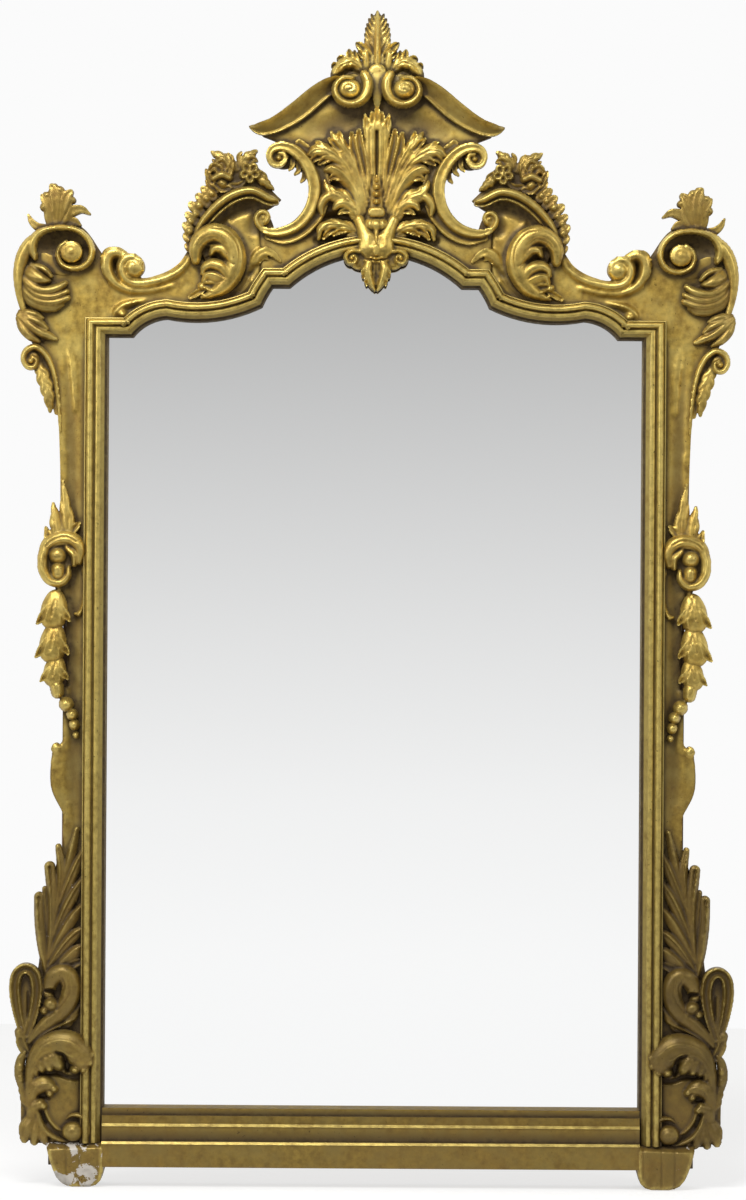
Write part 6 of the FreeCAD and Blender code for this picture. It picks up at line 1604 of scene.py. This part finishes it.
# Old timber: growth rings stretched along the grain, darkened by age
def make_timber_group():
    group, entry, out = node_group(
        "old_timber",
        [
            ("NodeSocketVector", "Place", (0, 0, 0)),
            ("NodeSocketColor", "Pale", shade(0.30, 0.18, 0.085)),
            ("NodeSocketColor", "Dark", shade(0.10, 0.052, 0.022)),
            ("NodeSocketFloat", "Dust", 0.3),
        ],
        [("NodeSocketColor", "Colour"), ("NodeSocketFloat", "Roughness"), ("NodeSocketFloat", "Height")],
    )
    bench = Bench(group)
    place = entry.outputs["Place"]
    sway = bench.noise(place, 1.3, 3.0, 0.6, 0.6)
    rings = bench.add("ShaderNodeTexWave", wave_type="BANDS", bands_direction="X", wave_profile="SIN")
    bench.link(place, rings.inputs["Vector"])
    rings.inputs["Scale"].default_value = 2.2
    rings.inputs["Distortion"].default_value = 7.0
    rings.inputs["Detail"].default_value = 3.0
    rings.inputs["Detail Scale"].default_value = 0.7
    pores = bench.noise(place, 16.0, 5.0, 0.7)
    ring_share = bench.math("MULTIPLY", rings.outputs["Fac"], 0.75)
    wood = bench.tint(ring_share, entry.outputs["Pale"], entry.outputs["Dark"])
    wood = bench.tint(bench.spread(pores, 0.5, 0.75, 0.0, 0.7), wood, entry.outputs["Dark"])
    grey = bench.math("MULTIPLY", bench.spread(sway, 0.4, 0.7), entry.outputs["Dust"])
    wood = bench.tint(grey, wood, shade(0.27, 0.23, 0.18))
    bench.link(wood, out.inputs["Colour"])
    bench.link(bench.spread(pores, 0.3, 0.7, 0.62, 0.88), out.inputs["Roughness"])
    bench.link(bench.math("ADD", rings.outputs["Fac"], pores), out.inputs["Height"])
    return group


timber_group = make_timber_group()


def timber(title, along, pale, dark, dust):
    material, bench, shader, place = new_material(title)
    wood = bench.add("ShaderNodeGroup", node_tree=timber_group)
    bench.link(bench.stretched(place, along), wood.inputs["Place"])
    wood.inputs["Pale"].default_value = pale
    wood.inputs["Dark"].default_value = dark
    wood.inputs["Dust"].default_value = dust
    bench.link(wood.outputs["Colour"], shader.inputs["Base Color"])
    bench.link(wood.outputs["Roughness"], shader.inputs["Roughness"])
    bump = bench.add("ShaderNodeBump")
    bump.inputs["Strength"].default_value = 0.35
    bump.inputs["Distance"].default_value = 0.5 * MM
    bench.link(wood.outputs["Height"], bump.inputs["Height"])
    bench.link(bump.outputs["Normal"], shader.inputs["Normal"])
    return material


UPRIGHT_GRAIN = (24.0, 24.0, 1.6)
LEVEL_GRAIN = (1.6, 24.0, 24.0)
CARCASE_PALE = shade(0.25, 0.15, 0.07)
CARCASE_DARK = shade(0.085, 0.045, 0.02)
PLANK_PALE = shade(0.33, 0.205, 0.105)
PLANK_DARK = shade(0.13, 0.07, 0.032)
upright_timber = timber("carcase_timber_upright", UPRIGHT_GRAIN, CARCASE_PALE, CARCASE_DARK, 0.4)
level_timber = timber("carcase_timber_level", LEVEL_GRAIN, CARCASE_PALE, CARCASE_DARK, 0.4)
plank_timber = timber("backboard_planks", UPRIGHT_GRAIN, PLANK_PALE, PLANK_DARK, 0.55)


# Worn metal: a bright colour tarnished in patches
def make_tarnish_group():
    group, entry, out = node_group(
        "tarnished_metal",
        [
            ("NodeSocketVector", "Place", (0, 0, 0)),
            ("NodeSocketColor", "Bright", shade(0.7, 0.5, 0.2)),
            ("NodeSocketColor", "Tarnish", shade(0.1, 0.06, 0.03)),
            ("NodeSocketFloat", "Age", 0.5),
        ],
        [("NodeSocketColor", "Colour"), ("NodeSocketFloat", "Roughness"), ("NodeSocketFloat", "Height")],
    )
    bench = Bench(group)
    place = entry.outputs["Place"]
    cloud = bench.noise(place, 110.0, 5.0, 0.65)
    pits = bench.noise(place, 900.0, 2.0, 0.5)
    aged = bench.math("MULTIPLY", bench.spread(cloud, 0.36, 0.66), entry.outputs["Age"])
    bench.link(bench.tint(aged, entry.outputs["Bright"], entry.outputs["Tarnish"]), out.inputs["Colour"])
    bench.link(bench.spread(cloud, 0.3, 0.7, 0.28, 0.58), out.inputs["Roughness"])
    bench.link(bench.math("ADD", cloud, bench.math("MULTIPLY", pits, 0.4)), out.inputs["Height"])
    return group


tarnish_group = make_tarnish_group()


def metal(title, bright, tarnish, age):
    material, bench, shader, place = new_material(title)
    worn = bench.add("ShaderNodeGroup", node_tree=tarnish_group)
    bench.link(place, worn.inputs["Place"])
    worn.inputs["Bright"].default_value = bright
    worn.inputs["Tarnish"].default_value = tarnish
    worn.inputs["Age"].default_value = age
    bench.link(worn.outputs["Colour"], shader.inputs["Base Color"])
    bench.link(worn.outputs["Roughness"], shader.inputs["Roughness"])
    shader.inputs["Metallic"].default_value = 0.95
    bump = bench.add("ShaderNodeBump")
    bump.inputs["Strength"].default_value = 0.25
    bump.inputs["Distance"].default_value = 0.2 * MM
    bench.link(worn.outputs["Height"], bump.inputs["Height"])
    bench.link(bump.outputs["Normal"], shader.inputs["Normal"])
    return material


hanger_brass = metal("hanger_brass_aged", shade(0.62, 0.42, 0.16), shade(0.16, 0.10, 0.045), 0.75)
screw_steel = metal("screw_steel_dull", shade(0.36, 0.34, 0.32), shade(0.11, 0.075, 0.05), 0.7)


# Silvered glass: a clear bright mirror with a faint haze and a few specks of lost silver
def silvered_glass():
    material, bench, shader, place = new_material("silvered_glass")
    haze = bench.noise(place, 3.0, 4.0, 0.6)
    specks = bench.noise(place, 160.0, 3.0, 0.6)
    lost_silver = bench.spread(specks, 0.76, 0.82, 0.0, 0.12)
    tone = bench.tint(lost_silver, shade(0.945, 0.95, 0.95), shade(0.55, 0.53, 0.49))
    bench.link(tone, shader.inputs["Base Color"])
    bench.link(bench.spread(haze, 0.3, 0.7, 0.012, 0.035), shader.inputs["Roughness"])
    shader.inputs["Metallic"].default_value = 1.0
    return material


mirror_silver = silvered_glass()


def dress(material, *nodes):
    for node in nodes:
        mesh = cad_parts[node].data
        mesh.materials.clear()
        mesh.materials.append(material)


def ease_edges(width, *nodes):
    for node in nodes:
        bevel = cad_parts[node].modifiers.new("eased_edges", "BEVEL")
        bevel.width = width
        bevel.segments = 2
        bevel.limit_method = "ANGLE"
        bevel.angle_limit = math.radians(40)
        bevel.harden_normals = True


MOULDING_PIECES = (
    "left_moulding_run", "top_moulding_run", "right_moulding_run",
    "left_hood_of_the_crest", "right_hood_of_the_crest",
    "left_arch_on_the_shoulder", "right_arch_on_the_shoulder",
)
GILDED_PIECES = [
    (board_gilding, BOARD_PIECES),
    (moulding_gilding, MOULDING_PIECES),
    (crest_gilding, ("palmette_of_the_crest", "beads_and_vase_drop")),
    (finial_gilding, ("finial_leaf", "volutes_of_the_crest")),
    (flower_gilding, ("left_spray_of_flowers", "right_spray_of_flowers")),
    (corner_gilding, ("left_acanthus_of_the_corner", "right_acanthus_of_the_corner")),
    (corner_gilding, ("left_leaf_on_the_corner", "right_leaf_on_the_corner")),
    (reed_gilding, ("left_spray_of_reeds",)),
    (shaded_reed_gilding, ("right_spray_of_reeds",)),
    (foot_carving_gilding, ("left_acanthus_at_the_foot", "left_boss_at_the_foot")),
    (shaded_foot_carving_gilding, ("right_acanthus_at_the_foot", "right_boss_at_the_foot")),
    (fascia_gilding, ("fascia_run",)),
    (foot_gilding, ("left_bracket_foot",)),
    (other_foot_gilding, ("right_bracket_foot",)),
]
finishes = {name: finish for finish, names in GILDED_PIECES for name in names}
for made in carved_pieces:
    made.data.materials.append(finishes.get(made.name, carving_gilding))

dress(upright_timber, "left_stile", "right_stile", "crest_brace", "glazing_blocks")
dress(level_timber, "top_rail", "bottom_rail")
dress(fascia_gilding, "plinth_board")
dress(plank_timber, "backboards")
dress(hanger_brass, "left_hanger_strap", "right_hanger_strap", "left_hanger_ring", "right_hanger_ring")
dress(screw_steel, "backboard_screws", "brace_screws", "hanger_screws")
dress(mirror_silver, "mirror_glass")
EASED_BOARDS = (
    "left_stile", "right_stile", "crest_brace", "top_rail", "bottom_rail", "plinth_board", "backboards",
)
ease_edges(1.0 * MM, *EASED_BOARDS)


# Rays that look straight at a thing or see it in the glass
def looking_rays(bench):
    rays = bench.add("ShaderNodeLightPath")
    seen = bench.math("MAXIMUM", rays.outputs["Is Camera Ray"], rays.outputs["Is Glossy Ray"])
    return rays, bench.math("MAXIMUM", seen, rays.outputs["Is Transmission Ray"])


def neutral(tone):
    return shade(tone, tone, tone)


# Plain pale floor
FLOOR_FRONT = -0.95
FLOOR_BACK = 2.6
FLOOR_SIDE = 2.4
FLOOR_GLOW = 0.63
PAPER_DARK = shade(0.39, 0.39, 0.388)
PAPER_PALE = shade(0.41, 0.41, 0.408)
floor_mesh = bpy.data.meshes.new("studio_floor")
floor_mesh.from_pydata(
    [
        (-FLOOR_SIDE, FLOOR_FRONT, FLOOR_LEVEL), (FLOOR_SIDE, FLOOR_FRONT, FLOOR_LEVEL),
        (FLOOR_SIDE, FLOOR_BACK, FLOOR_LEVEL), (-FLOOR_SIDE, FLOOR_BACK, FLOOR_LEVEL),
    ],
    [],
    [(0, 1, 2, 3)],
)
floor = bpy.data.objects.new("studio_floor", floor_mesh)
bpy.context.scene.collection.objects.link(floor)
floor_material, floor_bench, floor_shader, floor_place = new_material("studio_floor_paint")
paper = floor_bench.tint(floor_bench.noise(floor_place, 3.0), PAPER_DARK, PAPER_PALE)
floor_bench.link(paper, floor_shader.inputs["Base Color"])
floor_shader.inputs["Roughness"].default_value = 0.9
floor_shader.inputs["Emission Color"].default_value = neutral(1.0)
floor_seen = looking_rays(floor_bench)[1]
floor_glow = floor_bench.math("MULTIPLY", floor_seen, FLOOR_GLOW)
floor_bench.link(floor_glow, floor_shader.inputs["Emission Strength"])
floor_mesh.materials.append(floor_material)

# Studio: white wherever the camera looks, and for the glass a soft fall-off in front of it, from white at
# the floor to grey overhead
scene = bpy.context.scene
scene.view_settings.view_transform = "Standard"
world = bpy.data.worlds.new("studio")
scene.world = world
world.use_nodes = True
world.node_tree.nodes.clear()
studio = Bench(world.node_tree)
direction = studio.add("ShaderNodeSeparateXYZ")
studio.link(studio.add("ShaderNodeTexCoord").outputs["Generated"], direction.inputs["Vector"])
fall_off = studio.add("ShaderNodeValToRGB")
STUDIO_LOW = -0.30
STUDIO_HIGH = 0.70
STUDIO_TONES = [
    (-0.30, 0.70), (-0.14, 0.98), (-0.079, 0.985), (-0.044, 0.925), (-0.0087, 0.80),
    (0.026, 0.66), (0.0655, 0.50), (0.11, 0.36), (0.25, 0.24), (0.70, 0.20),
]
BACKDROP_WHITE = 0.965
WALL_TONE = 0.42
stops = fall_off.color_ramp.elements
while len(stops) < len(STUDIO_TONES):
    stops.new(0.5)
for stop, (rise, tone) in zip(stops, STUDIO_TONES):
    stop.position = (rise - STUDIO_LOW) / (STUDIO_HIGH - STUDIO_LOW)
    stop.color = neutral(tone)
studio.link(studio.spread(direction.outputs["Z"], STUDIO_LOW, STUDIO_HIGH), fall_off.inputs["Fac"])
rays, seen = looking_rays(studio)
behind = studio.math("GREATER_THAN", direction.outputs["Y"], 0.0)
white_seen = studio.math("MAXIMUM", behind, rays.outputs["Is Camera Ray"])
beside_panel = studio.spread(studio.math("ABSOLUTE", direction.outputs["X"]), 0.09, 0.26)
over_panel = studio.spread(direction.outputs["Z"], 0.10, 0.30)
under_panel = studio.spread(direction.outputs["Z"], -0.30, -0.16, 1.0, 0.0)
off_panel = studio.math("MAXIMUM", studio.math("MAXIMUM", beside_panel, over_panel), under_panel)
room_height = studio.spread(direction.outputs["Z"], -0.5, 0.8)
dim_tone = studio.tint(room_height, neutral(0.10), neutral(0.20))
at_wall = studio.spread(studio.math("ABSOLUTE", direction.outputs["Z"]), 0.34, 0.52, 1.0, 0.0)
room_tone = studio.tint(at_wall, dim_tone, neutral(WALL_TONE))
front_tone = studio.tint(off_panel, fall_off.outputs["Color"], room_tone)
backdrop_tone = studio.tint(white_seen, front_tone, neutral(BACKDROP_WHITE))
backdrop = studio.add("ShaderNodeBackground")
studio.link(backdrop_tone, backdrop.inputs["Color"])
room_light = studio.add("ShaderNodeBackground")
ceiling_share = studio.spread(direction.outputs["Z"], -0.7, 0.9)
room_tint = studio.tint(ceiling_share, neutral(0.11), shade(0.54, 0.535, 0.52))
studio.link(room_tint, room_light.inputs["Color"])
mixed = studio.add("ShaderNodeMixShader")
studio.link(seen, mixed.inputs[0])
studio.link(room_light.outputs[0], mixed.inputs[1])
studio.link(backdrop.outputs[0], mixed.inputs[2])
studio.link(mixed.outputs[0], studio.add("ShaderNodeOutputWorld").inputs["Surface"])


def softbox(title, place, aim, width, height, power):
    lamp = bpy.data.lights.new(title, "AREA")
    lamp.shape = "RECTANGLE"
    lamp.size = width
    lamp.size_y = height
    lamp.energy = power
    box = bpy.data.objects.new(title, lamp)
    box.location = place
    toward = Vector(aim) - Vector(place)
    box.rotation_euler = toward.to_track_quat("-Z", "Y").to_euler()
    bpy.context.scene.collection.objects.link(box)


TOP_POWER = 63
LEFT_POWER = 23
RIGHT_POWER = 15
softbox("softbox_top", (-0.6, -1.9, 3.2), (0, 0, 1.3), 1.5, 1.0, TOP_POWER)
softbox("softbox_left", (-2.5, -2.2, 1.9), (0, 0, 1.0), 0.7, 1.4, LEFT_POWER)
softbox("softbox_right", (2.6, -2.0, 2.1), (0, 0, 1.0), 0.6, 1.3, RIGHT_POWER)

# Camera square to the front on a long lens, with the photograph's slight roll
CAMERA_DISTANCE = 7.0
CAMERA_COLUMN = 373
CAMERA_ROW = 600
SENSOR_HEIGHT = 24.0
ROLL = math.radians(-0.36)
lens = bpy.data.cameras.new("camera")
lens.sensor_fit = "VERTICAL"
lens.sensor_height = SENSOR_HEIGHT
lens.lens = SENSOR_HEIGHT * CAMERA_DISTANCE / (PHOTO_HEIGHT * PIXEL)
camera = bpy.data.objects.new("camera", lens)
camera.location = (
    (CAMERA_COLUMN - MIDDLE_COLUMN) * PIXEL,
    -BOARD_FRONT - CAMERA_DISTANCE,
    (BASE_ROW - CAMERA_ROW) * PIXEL,
)
camera.rotation_euler = (math.pi / 2, ROLL, 0)
scene.collection.objects.link(camera)
scene.camera = camera
